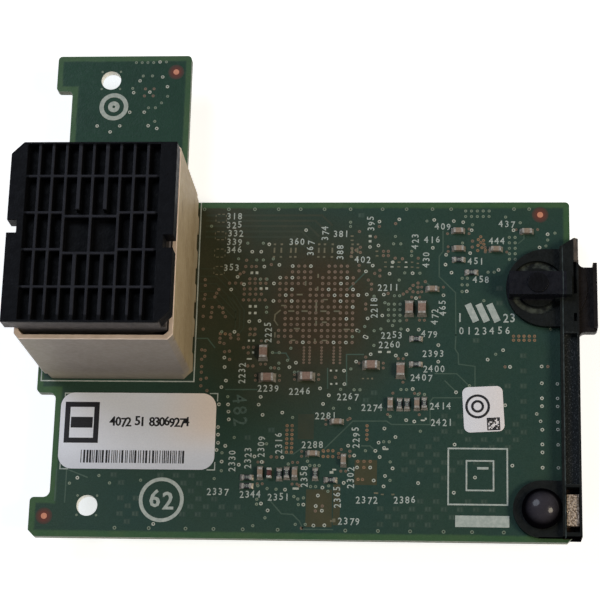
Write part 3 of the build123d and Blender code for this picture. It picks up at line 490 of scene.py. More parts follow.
bare = bmesh.new()
for column in range(13):
    for row in range(14):
        if row > 1 or column in (2, 3, 4, 5, 8, 9, 10, 11):
            if (column, row) not in grid_gaps and (column, row) not in grid_tinned:
                add_ring(bare, grid_left + grid_pitch * column, grid_top - grid_pitch * row, 0.56, 0.2, 0.016)
for x in (43.85, 44.8, 46.75, 48.75, 49.8):
    for row in range(6):
        add_ring(bare, x, 31.7 - 0.52 * row, 0.42, 0.14, 0.016)
for x, y in (
    (27.0, 31.2), (27.55, 31.1), (27.55, 30.1), (27.05, 29.6), (27.1, 28.35), (27.1, 27.4), (27.95, 26.4),
    (27.05, 26.2), (27.1, 25.1), (28.15, 24.3), (30.8, 30.9), (31.6, 31.0), (31.65, 29.6), (30.0, 34.0),
    (31.6, 33.85), (32.95, 33.8), (29.95, 33.2), (31.75, 33.25), (33.0, 33.1), (29.95, 32.5), (30.65, 32.3),
    (27.1, 43.3), (27.15, 42.3), (27.2, 40.7), (27.1, 39.95), (27.0, 38.65), (27.0, 36.95), (27.1, 34.75),
    (29.45, 41.6), (29.1, 40.95), (28.85, 40.3), (28.45, 38.5), (28.4, 37.6), (28.3, 36.8), (29.6, 38.6),
    (30.2, 38.4), (30.3, 37.6), (30.7, 36.9), (47.45, 5.4), (46.35, 4.6), (44.2, 1.8), (33.9, 31.6), (34.7, 31.7),
    (35.55, 31.7), (34.7, 30.7), (34.7, 28.5), (35.55, 28.5), (38.05, 45.95), (33.9, 46.7), (33.8, 45.6),
    (34.8, 45.6), (35.55, 45.6), (32.9, 44.3), (33.5, 44.6), (39.1, 28.2), (54.0, 30.1), (49.1, 26.65),
    (51.6, 19.8), (39.0, 13.35), (39.9, 13.3), (43.7, 8.7), (51.7, 14.4), (51.7, 13.6), (76.6, 28.6), (83.5, 28.7),
    (15.4, 77.6), (16.9, 77.6), (15.3, 76.3), (16.8, 76.3), (62.4, 42.8), (61.6, 42.4), (61.1, 41.8), (60.6, 41.3),
    (60.0, 40.9), (62.4, 42.1), (61.6, 41.3), (62.4, 41.2), (55.9, 52.65), (58.6, 53.15), (55.3, 50.8),
    (62.4, 47.1), (58.6, 47.1), (59.8, 47.0), (56.1, 45.0), (56.1, 44.0), (55.25, 44.45), (52.65, 45.85),
    (52.65, 44.9), (51.4, 48.8), (51.4, 48.1), (52.1, 48.5), (52.8, 49.0), (52.8, 48.1), (51.3, 47.4),
    (63.6, 43.05), (53.85, 39.15), (53.85, 38.3), (57.5, 41.0), (54.2, 43.3), (54.75, 42.6), (54.75, 41.7),
    (71.35, 50.1), (71.3, 49.05), (52.6, 51.75),
):
    add_ring(bare, x, y, **bare_size)
for x, y, columns, rows, pitch_x, pitch_y in (
    (34.55, 42.7, 4, 2, 0.9, 0.75), (33.7, 40.8, 4, 2, 0.95, 0.9), (33.6, 39.8, 5, 1, 0.9, 1.0),
    (31.2, 42.7, 3, 1, 1.0, 0.5), (34.9, 33.9, 2, 2, 0.8, 0.9), (56.65, 47.55, 2, 2, 0.8, 0.75),
):
    add_ring_rows(bare, x, y, columns, rows, pitch_x, pitch_y, bare_size)
copper_ring = plating("via_copper", (136, 116, 98), (114, 98, 82), 0.5, 0.0)
copper_plug = plating("via_copper_plug", (92, 78, 62), (74, 64, 50), 0.6, 0.0)
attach(piece("bare_vias", bare, copper_ring, copper_plug), "root")

gilt = bmesh.new()
for x, y, columns, rows, pitch_x, pitch_y in (
    (41.45, 14.15, 2, 7, 0.82, 0.73), (78.0, 33.1, 5, 2, 0.85, 0.68), (47.4, 13.5, 3, 2, 0.78, 0.95),
    (54.4, 16.4, 1, 4, 1.0, 0.74), (53.0, 12.75, 3, 1, 1.0, 1.0), (54.0, 11.75, 1, 1, 1.0, 1.0),
    (53.1, 9.8, 2, 1, 0.7, 1.0), (49.9, 13.4, 1, 2, 1.0, 0.6),
):
    add_ring_rows(gilt, x, y, columns, rows, pitch_x, pitch_y, gilt_size)
for x, y in (
    (72.7, 50.85), (72.3, 50.35), (73.15, 50.2), (72.7, 49.85), (72.25, 49.35), (73.2, 49.55), (72.9, 48.95),
    (72.2, 48.45), (73.5, 48.55), (74.15, 48.55), (30.8, 33.95),
):
    add_ring(gilt, x, y, **gilt_size)
gilt_ring = plating("via_flux_stained", (156, 124, 92), (126, 102, 78), 0.5, 0.0)
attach(piece("gilt_vias", gilt, gilt_ring, copper_plug), "root")


# Aiming marks, screw-hole rims and test pads.
# Round copper dots in a clear of red-brown laminate guide the placing machine, the screw holes have a
# rim of lighter mask with small vias, and bare tinned pads wait for parts that were never fitted.
def add_disc(body, x, y, width, height, segments=24):
    """Adds a flat disc on the board."""
    place = Matrix.Translation(at(x, y, height))
    bmesh.ops.create_circle(body, cap_ends=True, segments=segments, radius=width / 2000, matrix=place)


clears, dots = bmesh.new(), bmesh.new()
aiming_marks = ((20.6, 80.7), (82.5, 54.7), (2.5, 3.3))
for x, y in aiming_marks:
    add_disc(clears, x, y, 2.75, 0.012)
    add_disc(dots, x, y, 1.0, 0.02)
clear_paint = new_material("bare_laminate", (94, 56, 46), 0.6)
clear_spot = on_board(clear_paint)
heart = nearness(clear_paint, clear_spot, *aiming_marks[0], 1.5, 1.5)
for x, y in aiming_marks[1:]:
    heart = calc(clear_paint, "MAXIMUM", heart, nearness(clear_paint, clear_spot, x, y, 1.5, 1.5))
clear_tone = mix(clear_paint, heart, cloudy(clear_paint, 1.5, (66, 62, 52), (58, 58, 48)), (104, 54, 42))
clear_paint = surface(clear_paint, clear_tone, height=noise(clear_paint, 6.0), depth=0.01)
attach(piece("aiming_mark_clears", clears, clear_paint), "root")
dot_paint = plating("aiming_mark_copper", (232, 156, 124), (208, 134, 104), 0.4, 0.0)
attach(piece("aiming_mark_dots", dots, dot_paint), "root")

rim_vias = bmesh.new()
for x, y in screw_holes:
    for quarter in range(4):
        turn = math.radians(45 + 90 * quarter)
        add_ring(rim_vias, x + 2.25 * math.cos(turn), y + 2.25 * math.sin(turn), 0.4, 0.12, 0.02)
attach(piece("screw_hole_vias", rim_vias, mask_ring, hole_dark), "root")


def add_pad(body, x, y, wide, tall, height):
    """Adds a flat rectangular pad about a place."""
    place = Matrix.Translation(at(x, y, height)) @ Matrix.Diagonal((wide / 1000, tall / 1000, 1.0, 1.0))
    bmesh.ops.create_grid(body, x_segments=1, y_segments=1, size=0.5, matrix=place)


pads = bmesh.new()
for x, y, wide, tall in (
    (34.85, 44.5, 0.45, 0.45), (35.7, 44.5, 0.45, 0.45), (36.45, 41.8, 0.45, 0.4), (37.4, 41.8, 0.45, 0.4),
    (34.75, 38.7, 0.45, 0.45), (35.65, 38.7, 0.45, 0.45), (34.75, 37.55, 0.42, 0.42), (35.65, 37.55, 0.42, 0.42),
    (54.4, 50.95, 0.5, 0.4), (54.4, 50.05, 0.45, 0.4), (34.75, 32.8, 0.35, 0.35), (35.5, 32.8, 0.35, 0.35),
    (35.5, 30.8, 0.35, 0.35), (34.9, 29.7, 0.8, 0.25), (56.3, 31.0, 0.6, 0.35), (57.75, 31.0, 0.6, 0.35),
    (48.35, 27.8, 0.35, 0.3), (49.25, 27.8, 0.3, 0.3), (48.45, 25.55, 0.35, 0.3), (49.3, 25.6, 0.3, 0.3),
    (48.8, 10.9, 0.6, 0.4), (49.25, 11.35, 0.6, 0.25), (43.1, 8.2, 1.0, 0.35), (63.4, 19.6, 0.7, 0.25),
    (63.85, 19.85, 0.3, 0.35), (57.45, 14.8, 0.9, 0.3), (58.1, 46.45, 0.4, 0.26), (58.1, 45.6, 0.5, 0.26),
    (60.4, 46.4, 0.4, 0.22), (60.4, 45.55, 0.5, 0.22),
):
    add_pad(pads, x, y, wide, tall, 0.022)
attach(piece("test_pads", pads, tin_paint), "root")

dull_pads = bmesh.new()
for x in (38.5, 39.65, 41.25, 42.05, 45.9, 46.85, 48.15, 51.45, 52.35):
    add_pad(dull_pads, x, 48.45, 0.28, 0.9, 0.02)
    add_pad(dull_pads, x + 0.05, 49.5, 0.4, 0.3, 0.02)
    add_pad(dull_pads, x - 0.05, 47.3, 0.4, 0.3, 0.02)
for y in (54.1, 51.0, 47.95, 44.9):
    for rise in (-0.7, 0.7):
        add_pad(dull_pads, 29.0, y + rise, 0.42, 0.16, 0.02)
        add_pad(dull_pads, 29.75, y + rise, 0.42, 0.16, 0.02)
        add_pad(dull_pads, 28.5, y + 0.6 * rise, 0.12, 0.35, 0.02)
        add_pad(dull_pads, 30.25, y + 0.6 * rise, 0.12, 0.35, 0.02)
for x, y, wide, tall in (
    (41.6, 37.9, 1.0, 0.26), (43.8, 37.9, 1.0, 0.26), (46.9, 37.9, 1.0, 0.26), (49.1, 37.9, 1.0, 0.26),
    (45.7, 39.0, 0.26, 0.9), (45.7, 38.1, 0.26, 0.5), (45.9, 44.0, 0.26, 0.7), (43.85, 42.7, 0.26, 0.8),
    (45.85, 41.8, 0.26, 0.7), (42.9, 40.75, 1.0, 0.26), (45.75, 35.9, 0.26, 0.7), (47.1, 36.0, 0.8, 0.26),
    (40.3, 38.85, 0.8, 0.22), (47.2, 39.9, 0.8, 0.22), (42.6, 34.9, 1.0, 0.24), (50.8, 34.8, 1.0, 0.24),
    (42.0, 32.9, 0.8, 0.22), (47.2, 32.9, 0.9, 0.22), (39.0, 33.8, 0.22, 0.9), (45.6, 32.9, 0.26, 0.6),
    (51.4, 50.95, 0.5, 0.25), (51.4, 50.2, 0.5, 0.25), (55.55, 48.3, 0.45, 0.26), (55.6, 47.5, 0.45, 0.26),
    (57.0, 46.4, 0.45, 0.22), (57.0, 45.6, 0.45, 0.22), (59.25, 46.4, 0.5, 0.22), (59.2, 45.6, 0.5, 0.22),
    (61.4, 46.4, 0.4, 0.22), (61.4, 45.55, 0.45, 0.22), (62.35, 46.2, 0.4, 0.22), (62.35, 45.45, 0.45, 0.22),
    (53.6, 26.5, 0.35, 0.22), (54.4, 26.5, 0.35, 0.22), (55.1, 26.5, 0.3, 0.3), (56.0, 7.6, 0.7, 0.25),
    (57.0, 7.4, 0.5, 0.22), (58.7, 7.4, 0.5, 0.25), (49.35, 3.1, 0.5, 0.6), (48.9, 3.0, 0.3, 0.3),
    (34.75, 33.7, 0.3, 0.3), (35.5, 33.7, 0.3, 0.3), (61.3, 48.3, 0.35, 0.25),
):
    add_pad(dull_pads, x, y, wide, tall, 0.024)
add_strip(dull_pads, [(39.75, 38.0), (38.95, 37.3), (38.85, 36.3), (39.4, 35.5)], 0.22, 0.028)
unfitted_pads_paint = plating("pad_under_flux", (132, 124, 100), (108, 108, 88), 0.5, 0.2)
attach(piece("unfitted_pads", dull_pads, unfitted_pads_paint), "root")


# Silk-screen print.
# Pale ink on the mask: a line round the connector, brackets for the label, plain numbers beside the
# parts, and simple shapes where the board carries its own marks.
def figure_meshes():
    """The ten figures, each a flat mesh one unit high about its own middle."""
    meshes = {}
    for figure in "0123456789":
        curve = bpy.data.curves.new("figure", "FONT")
        curve.body = figure
        curve.align_x = "CENTER"
        curve.align_y = "CENTER"
        curve.resolution_u = 2
        curve.offset = 0.012
        holder = bpy.data.objects.new("figure", curve)
        meshes[figure] = bpy.data.meshes.new_from_object(holder)
        bpy.data.objects.remove(holder)
        corners = [vert.co for vert in meshes[figure].vertices]
        tall = max(corner.y for corner in corners) - min(corner.y for corner in corners)
        middle = sum(corners, Vector()) / len(corners)
        meshes[figure].transform(Matrix.Scale(1 / tall, 4) @ Matrix.Translation((-middle.x, -middle.y, 0)))
    return meshes


figures = figure_meshes()


def add_number(body, number, x, y, turned=0, tall=1.15, step=0.93, height=0.03):
    """Prints plain figures in a row about a place."""
    turn = Matrix.Rotation(math.radians(turned), 4, "Z")
    for index, figure in enumerate(number):
        along = (index - (len(number) - 1) / 2) * step
        offset = turn @ Vector((along, 0, 0))
        copy = figures[figure].copy()
        size = Matrix.Diagonal((tall * 0.92 / 1000, tall / 1000, 1.0, 1.0))
        copy.transform(Matrix.Translation(at(x + offset.x, y + offset.y, height)) @ turn @ size)
        body.from_mesh(copy)
        bpy.data.meshes.remove(copy)


silk = bmesh.new()
print_height, layer = 0.03, 0.006
last_number = {3: 311, 4: 2204}
for digits, x, y, turned in (
    (3, 31.6, 54.45, 0), (3, 31.6, 52.9, 0), (3, 31.9, 51.45, 0), (3, 31.75, 49.95, 0), (3, 31.75, 48.5, 0),
    (3, 31.4, 45.4, 0), (3, 42.2, 49.95, 0), (3, 44.5, 48.8, 90), (3, 46.85, 51.45, 90), (3, 49.55, 51.35, 0),
    (3, 49.45, 48.1, 90), (3, 54.5, 53.15, 90), (3, 53.25, 46.85, 0), (4, 57.5, 42.05, 0), (4, 55.2, 38.5, 90),
    (4, 37.85, 34.2, 90), (4, 33.75, 27.25, 90), (4, 38.15, 24.8, 0), (4, 43.3, 24.3, 0), (4, 58.15, 33.85, 0),
    (4, 57.8, 32.25, 0), (4, 51.15, 23.45, 0), (4, 55.15, 21.7, 0), (4, 47.65, 20.25, 0), (4, 45.6, 15.45, 0),
    (4, 52.6, 16.65, 90), (4, 51.85, 10.05, 90), (4, 37.3, 15.0, 90), (4, 40.15, 15.6, 90), (4, 35.2, 13.1, 90),
    (4, 32.65, 12.6, 90), (4, 30.5, 7.6, 0), (4, 35.8, 7.2, 0), (4, 40.35, 6.8, 0), (4, 44.4, 10.15, 90),
    (4, 49.8, 6.85, 90), (4, 54.5, 6.5, 0), (4, 51.7, 3.05, 0), (4, 60.55, 6.55, 0), (3, 66.45, 52.65, 0),
    (3, 64.7, 50.3, 0), (3, 61.85, 50.05, 90), (3, 63.7, 46.85, 90), (3, 77.0, 53.1, 0), (3, 75.4, 50.1, 0),
    (3, 71.9, 46.55, 0), (3, 72.75, 43.4, 0), (3, 66.5, 38.55, 90), (3, 65.15, 37.05, 90), (3, 64.35, 34.1, 0),
    (4, 64.95, 30.8, 0), (4, 65.1, 28.2, 0), (4, 63.05, 26.75, 0), (4, 66.2, 22.0, 0), (4, 66.4, 19.3, 0),
):
    last_number[digits] += 7
    add_number(silk, str(last_number[digits]), x, y, turned)
add_number(silk, "0123456", 73.3, 34.65, 0, 1.25, 1.25)
add_number(silk, "1", 69.3, 36.9, 0, 1.5, 1.0)
add_number(silk, "23", 77.3, 36.9, 0, 1.5, 1.1)
for x, height in ((21.4, print_height), (21.54, print_height + layer)):
    add_number(silk, "62", x, 6.14, 0, 2.9, 2.05, height)
for index, (line, width) in enumerate((
    ([(0.6, 60.2), (0.6, 25.8), (25.93, 25.8), (25.93, 56.8)], 0.2),
    ([(4.8, 22.5), (4.8, 23.7), (6.0, 23.7)], 0.18), ([(28.75, 23.8), (29.95, 23.8), (29.95, 22.6)], 0.18),
    ([(4.65, 12.3), (4.65, 11.06), (5.9, 11.06)], 0.18), ([(28.7, 11.1), (29.9, 11.1), (29.9, 12.3)], 0.18),
    ([(67.5, 5.9), (67.5, 15.0), (76.9, 15.0), (76.9, 5.9), (67.5, 5.9)], 0.26),
    ([(70.4, 8.2), (70.4, 13.0), (74.7, 13.0), (74.7, 8.2), (70.4, 8.2)], 0.26),
    ([(72.3, 11.8), (73.7, 11.8)], 0.4),
    ([(69.55, 3.2), (76.25, 3.2)], 1.85),
    ([(70.8, 38.7), (71.7, 36.7)], 1.1), ([(72.55, 38.7), (73.45, 36.7)], 1.1), ([(74.3, 38.7), (75.2, 36.7)], 1.1),
)):
    add_strip(silk, line, width, print_height + layer * index)
for x, y, outer, inner in ((10.1, 74.3, 5.0, 3.5), (10.1, 74.3, 2.0, 0.5), (21.46, 6.14, 7.3, 6.1)):
    add_ring(silk, x, y, outer, inner, 0.05, 48)
open_rings(silk)
ink = cloudy_paint("silk_ink", (176, 184, 176), 0.7, (1.6, 4.0), (166, 178, 172), (194, 202, 196), 5.0, 0.02)
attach(piece("silk_print", silk, ink), "root")

stamp = bmesh.new()
add_number(stamp, "482", 33.7, 21.0, -83, 2.3, 1.8)
stamp_ink = cloudy_paint(
    "rubber_stamp_ink", (104, 138, 112), 0.8, (3.0, 4.0), (62, 82, 74), (88, 110, 102), 5.0, 0.01,
)
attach(piece("stamped_number", stamp, stamp_ink), "root")


# Chip capacitors and resistors on the connector side.
# Fired ceramic blocks with tinned end caps, reflowed onto printed solder paste: every end stands in a
# small sloping fillet on its pad. The resistors have a dark glass coat with plain figures.
def solids_of(node):
    """The lowest and highest corners of the separate solids in a CAD node."""
    body = bmesh.new()
    body.from_mesh(nodes[node].data)
    bmesh.ops.remove_doubles(body, verts=body.verts, dist=1e-6)
    waiting, corners = set(body.verts), []
    while waiting:
        front, places = [waiting.pop()], []
        while front:
            vert = front.pop()
            places.append(vert.co.copy())
            for other in (edge.other_vert(vert) for edge in vert.link_edges):
                if other in waiting:
                    waiting.remove(other)
                    front.append(other)
        low = Vector([min(place[axis] for place in places) for axis in range(3)])
        high = Vector([max(place[axis] for place in places) for axis in range(3)])
        corners.append((low, high))
    body.free()
    return sorted(corners, key=lambda pair: tuple(pair[0]))


def add_fillets(body, ends, bodies, reach, climb):
    """Adds a pad and a sloping solder fillet beyond each end of each chip."""
    chips = [(low + high) / 2 for low, high in solids_of(bodies)]
    for low, high in solids_of(ends):
        middle = (low + high) / 2
        out = middle - min(chips, key=lambda chip: (chip - middle).length)
        along = 0 if abs(out.x) > abs(out.y) else 1
        sign = 1.0 if out[along] > 0 else -1.0
        start = (high if sign > 0 else low)[along]
        size = high - low
        under = middle.z < board_low[2]
        floor_z, lift = (board_low[2], -1.0) if under else (board_high[2], 1.0)
        wedge = bmesh.ops.create_cube(body, size=1.0)["verts"]
        for vert in wedge:
            beyond, above = vert.co[along] > 0, vert.co.z > 0
            place = middle.copy()
            place[along] = start + sign * (reach / 1000 if beyond else -0.00012)
            place[1 - along] = middle[1 - along] + vert.co[1 - along] * size[1 - along] * (1.22 if beyond else 1.06)
            rise = (0.05 if beyond else climb * size.z * 1000) if above else 0.004
            place.z = floor_z + lift * rise / 1000
            vert.co = place
        edges = list({edge for vert in wedge for edge in vert.link_edges})
        bmesh.ops.bevel(body, geom=edges, offset=0.00004, segments=2, profile=0.5, affect="EDGES", material=-1)


def ceramic(name, colour, other):
    """Fired ceramic: fine grains in two tones and a slight gloss."""
    material = new_material(name, colour, 0.38)
    grains = noise(material, 3.5, 4.0)
    return surface(material, mix(material, grains, colour, other), height=noise(material, 9.0, 3.0), depth=0.012)


def solder(name, colour=(196, 192, 182), other=(140, 134, 124)):
    """Tin that wetted and froze: soft waves and dull spots."""
    material = new_material(name, colour, 0.32, Metallic=0.55)
    tone = cloudy(material, 2.4, colour, other)
    gloss = noise(material, 3.0, low=0.25, high=0.45)
    return surface(material, tone, gloss, noise(material, 2.0, 2.0), depth=0.03)


fillets = bmesh.new()
add_fillets(fillets, "small_capacitor_ends", "small_capacitor_bodies", 0.34, 0.6)
add_fillets(fillets, "large_capacitor_ends", "large_capacitor_bodies", 0.42, 0.6)
add_fillets(fillets, "resistor_ends", "resistor_bodies", 0.3, 0.7)
solder_fillets_paint = solder("fillet_solder")
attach(piece("solder_fillets", fillets, solder_fillets_paint), "root")
dice = random.Random(7)
end_vias = bmesh.new()
chips = solids_of("large_capacitor_bodies") + solids_of("small_capacitor_bodies")
chip_middles = [(low + high) / 2 for low, high in chips]
for low, high in solids_of("large_capacitor_ends") + solids_of("small_capacitor_ends"):
    end = (low + high) / 2
    x, y = (end * 1000 - Vector(corner_mm)).xy
    out = end - min(chip_middles, key=lambda chip: (chip - end).length)
    sign_x, sign_y = (math.copysign(1, out.x), 0) if abs(out.x) > abs(out.y) else (0, math.copysign(1, out.y))
    for side in (-0.4, 0.4):
        if dice.random() < 0.7:
            beside_x, beside_y = x + 1.15 * sign_x + side * sign_y, y + 1.15 * sign_y + side * sign_x
            add_ring(end_vias, beside_x, beside_y, 0.48, 0.2, 0.016)
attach(piece("chip_end_vias", end_vias, copper_ring, copper_plug), "root")
for node, colour, other in (
    ("small_capacitor_bodies", (162, 146, 130), (138, 120, 104)),
    ("large_capacitor_bodies", (158, 134, 120), (132, 106, 94)),
    ("resistor_bodies", (52, 52, 56), (36, 36, 40)),
):
    dress(node, ceramic(node + "_ceramic", colour, other))
for node in ("small_capacitor_ends", "large_capacitor_ends", "resistor_ends"):
    dress(node, solder(node + "_tin", (214, 208, 198), (168, 160, 150)))

lone = bmesh.new()
place = Matrix.Translation(at(38.8, 10.6, 0.42)) @ Matrix.Diagonal((0.74, 0.95, 0.74, 1.0))
bmesh.ops.create_cube(lone, size=0.001, matrix=place)
bmesh.ops.bevel(lone, geom=lone.edges[:], offset=0.00008, segments=2, affect="EDGES", profile=0.6)
lone_capacitor_body_paint = ceramic("lone_capacitor_ceramic", (98, 56, 48), (76, 44, 40))
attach(piece("lone_capacitor_body", lone, lone_capacitor_body_paint), "root")
caps = bmesh.new()
for y in (9.96, 11.24):
    place = Matrix.Translation(at(38.8, y, 0.43)) @ Matrix.Diagonal((0.8, 0.4, 0.8, 1.0))
    bmesh.ops.create_cube(caps, size=0.001, matrix=place)
bmesh.ops.bevel(caps, geom=caps.edges[:], offset=0.0001, segments=3, affect="EDGES", profile=0.6)
lone_capacitor_ends_paint = solder("lone_capacitor_tin", (236, 232, 222), (206, 200, 190))
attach(piece("lone_capacitor_ends", caps, lone_capacitor_ends_paint), "root")

codes = bmesh.new()
for low, high in solids_of("resistor_bodies"):
    x, y, z = ((low + high) / 2 * 1000 - Vector(corner_mm))
    turned = 0 if high.x - low.x > high.y - low.y else 90
    add_number(codes, "103", x, y, turned, 0.46, 0.3, (high.z * 1000 - corner_mm[2]) + 0.01)
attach(piece("resistor_figures", codes, ink), "root")


# Paper labels.
# Die-cut white paper with a thin glue layer, printed black: bars of random width, plain figures and simple
# bold shapes. None of it says anything.
def label_face(node):
    """How high the print on a label lies above the board, in millimetres."""
    return (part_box(node)[1][2] - board_high[2]) * 1000 + 0.012


def turn_print(body, x, y, degrees):
    """Turns a print about a place on the board."""
    centre = at(x, y)
    turn = Matrix.Translation(centre) @ Matrix.Rotation(math.radians(degrees), 4, "Z") @ Matrix.Translation(-centre)
    bmesh.ops.transform(body, matrix=turn, verts=body.verts)


def paper(name, painted_warm_light_from, painted_warm_light_to):
    """White paper with fibres, tinted by painted warm and cool light, greyer from 15.5 down to 11 mm."""
    material = new_material(name, (240, 240, 244), 0.75)
    across, inward = split(material, on_board(material))[:2]
    painted_warm_light = between(material, across, painted_warm_light_from, painted_warm_light_to)
    if name == "large_label_paper":
        painted_warm_light = times(material, painted_warm_light, between(material, inward, 12.5, 19.0))
    # Painted light: a cool white and a warm white across the label.
    tone = mix(material, painted_warm_light, (240, 244, 255), (255, 240, 231))
    tone = mix(material, between(material, inward, 15.5, 11.0, 0.0, 0.25), tone, (168, 170, 180))
    fibres = noise(material, 5.0, 5.0, low=0.96, high=1.03)
    grey = add_node(material, "CombineColor", {0: fibres, 1: fibres, 2: fibres})
    tone = mix(material, 1.0, tone, grey, "MULTIPLY")
    return surface(material, tone, height=noise(material, 12.0), depth=0.01)


dress("large_label", paper("large_label_paper", 18.5, 29.5))
dress("small_label", paper("small_label_paper", 66.0, 84.0))
large_print, level = bmesh.new(), label_face("large_label")
dice = random.Random(21)
x = 7.94
while x < 24.7:
    bar = dice.choice((0.13, 0.13, 0.2, 0.32))
    add_strip(large_print, [(x + bar / 2, 12.1 + bar / 2), (x + bar / 2, 14.2 - bar / 2)], bar, level)
    x += bar + dice.choice((0.14, 0.14, 0.2, 0.3))
for number, x in (("4072", 14.2), ("51", 17.35), ("83069274", 22.2)):
    add_number(large_print, number, x, 19.0, 0, 1.55, 0.82, level)
    add_number(large_print, number, x + 0.08, 19.0, 0, 1.55, 0.82, level + 0.004)
for line, width in (
    ([(5.4, 15.8), (5.4, 21.8), (10.2, 21.8), (10.2, 15.8), (5.4, 15.8)], 0.85), ([(6.9, 18.8), (8.7, 18.8)], 1.8),
):
    add_strip(large_print, line, width, level)
black_ink = cloudy_paint("black_ink", (22, 22, 26), 0.6, (4.0,), (20, 20, 24), (38, 38, 44), 9.0, 0.01)
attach(piece("large_label_print", large_print, black_ink), "root")

small_print, level = bmesh.new(), label_face("small_label")
for x, y, outer, inner in ((72.2, 22.0, 4.0, 3.2), (72.2, 22.0, 2.1, 1.3)):
    add_ring(small_print, x, y, outer, inner, level, 36)
open_rings(small_print)
for row in range(10):
    for column in range(10):
        if row in (0, 9) or column == 0 or dice.random() < 0.6:
            x, y = 73.65 + 0.21 * column, 18.05 + 0.21 * row
            add_strip(small_print, [(x, y), (x + 0.01, y)], 0.2, level)
turn_print(small_print, 73.1, 21.5, 3.0)
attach(piece("small_label_print", small_print, black_ink), "root")


# Board connector.
# A beige liquid-crystal polymer housing with thin walls holds ten dark wafers of gold-plated contacts.
# Its walls are matt, with flow marks and a few scrapes; the front wall carries painted shade, the foot painted
# light and the rim a paler painted highlight.
def soften(node, width, angle=35.0):
    """Rounds a moulding's edges by a small radius, so that they catch the light."""
    weld = nodes[node].modifiers.new("weld", "WELD")
    weld.merge_threshold = 1e-6
    bevel = nodes[node].modifiers.new("rounded_edges", "BEVEL")
    bevel.width = width / 1000
    bevel.segments = 2
    bevel.limit_method = "ANGLE"
    bevel.angle_limit = math.radians(angle)
    bevel.harden_normals = False


housing_low, housing_high = (Vector(corner) * 1000 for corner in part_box("connector_housing"))
beige = new_material("beige_housing", (178, 164, 138), 0.55, Specular_IOR_Level=0.4)
spot = split(beige, place_in(beige))
walls = cloudy(beige, 0.25, (166, 148, 118), (154, 136, 106), 4.0)
# Painted shade: the front wall is painted a greyer, darker beige, as it looks in shade; its left end is painted a
# touch lighter as painted light.
front = between(beige, spot[1], housing_low.y + 1.2, housing_low.y + 0.4)
walls = mix(beige, front, walls, cloudy(beige, 0.2, (138, 129, 121), (130, 121, 113)))
left_end_painted_light = times(beige, front, between(beige, spot[0], housing_low.x + 7.0, housing_low.x + 1.0))
walls = mix(beige, left_end_painted_light, walls, (138, 129, 116))
# Painted light: the walls are painted paler towards their foot.
painted_foot_shading = between(beige, spot[2], housing_low.z + 6.0, housing_low.z + 1.0)
walls = mix(beige, painted_foot_shading, walls, mix(beige, 0.35, walls, (196, 184, 160)))
slant = {"Vector": place_in(beige), "Rotation": (math.radians(38), 0.0, 0.0), "Scale": (1.0, 0.35, 3.2)}
grain = add_node(beige, "Mapping", slant)
scrape = between(beige, noise(beige, 0.35, 2.0, place=grain), 0.72, 1.0)
right_wall = between(beige, spot[0], housing_high.x - 0.4, housing_high.x - 0.1)
walls = mix(beige, times(beige, times(beige, scrape, right_wall), 0.75), walls, (112, 90, 64))
# Painted highlight: the rim is painted a pale cream, as it looks where light catches it.
rim_painted_highlight = between(beige, spot[2], housing_high.z - 0.5, housing_high.z - 0.08)
walls = mix(beige, rim_painted_highlight, walls, cloudy(beige, 0.8, (244, 222, 206), (226, 204, 186)))
gloss = noise(beige, 1.2, low=0.48, high=0.66)
dress("connector_housing", surface(beige, walls, gloss, noise(beige, 2.5, 4.0), depth=0.02))
soften("connector_housing", 0.12)

for node, colour, other, roughness, metallic in (
    ("connector_wafers", (46, 44, 44), (34, 33, 34), 0.55, 0.0),
    ("connector_contacts", (206, 170, 96), (184, 148, 80), 0.3, 0.9),
):
    dress(node, plating(node + "_finish", colour, other, roughness, metallic))
dress("connector_solder_joints", solder("joint_solder"))


# Dust cap.
# A black moulded cap snaps over the connector's mouth for shipping: ten columns and five rows of pockets
# between ribs whose tops are rubbed grey, a plain flange with two finger notches, and a skirt.
cap_low, cap_high = (Vector(corner) * 1000 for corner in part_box("connector_cap"))
black_cap = new_material("black_cap", (30, 30, 34), 0.5, Specular_IOR_Level=0.1)
spot = place_in(black_cap)
level = split(black_cap, spot)[2]
# Painted shade: the pockets below the rib tops are painted darker than the flange.
pocket_painted_shade_tone = cloudy(black_cap, 0.5, (12, 13, 16), (15, 16, 19), 4.0)
rib_tone = cloudy(black_cap, 0.7, (50, 51, 57), (43, 44, 50), 4.0)
flange_tone = cloudy(black_cap, 0.6, (23, 24, 28), (19, 20, 24), 4.0)
field = depth_in_box(black_cap, spot, cap_low.x + 2.9, cap_low.y + 1.1, cap_high.x - 2.9, cap_high.y - 0.6)
field = between(black_cap, field, -0.1, 0.2)
top = between(black_cap, level, cap_high.z - 0.7, cap_high.z - 0.1)
tone = mix(black_cap, field, flange_tone, mix(black_cap, top, pocket_painted_shade_tone, rib_tone))
# Painted light: the skirt of the same black moulding is painted a lighter grey.
skirt_painted_light = between(black_cap, level, cap_high.z - 3.0, cap_high.z - 3.4)
hidden = depth_in_box(black_cap, spot, cap_low.x + 2.2, cap_low.y + 2.2, cap_high.x - 2.2, cap_high.y - 2.2)
skirt_painted_light = times(black_cap, skirt_painted_light, between(black_cap, hidden, 0.6, 0.0))
tone = mix(black_cap, skirt_painted_light, tone, (90, 86, 86))
# Painted light: the flange's front side face is painted a lighter grey.
inward = split(black_cap, spot)[1]
front_side_painted_light = between(black_cap, inward, cap_low.y + 0.3, cap_low.y + 0.1)
front_side_painted_light = times(black_cap, front_side_painted_light, between(black_cap, level, cap_high.z - 0.25, cap_high.z - 0.6))
tone = mix(black_cap, front_side_painted_light, tone, cloudy(black_cap, 0.5, (88, 84, 84), (76, 73, 73)))
gloss = noise(black_cap, 1.0, 4.0, low=0.42, high=0.62)
dress("connector_cap", surface(black_cap, tone, gloss, noise(black_cap, 3.0, 4.0), depth=0.02))
soften("connector_cap", 0.1)


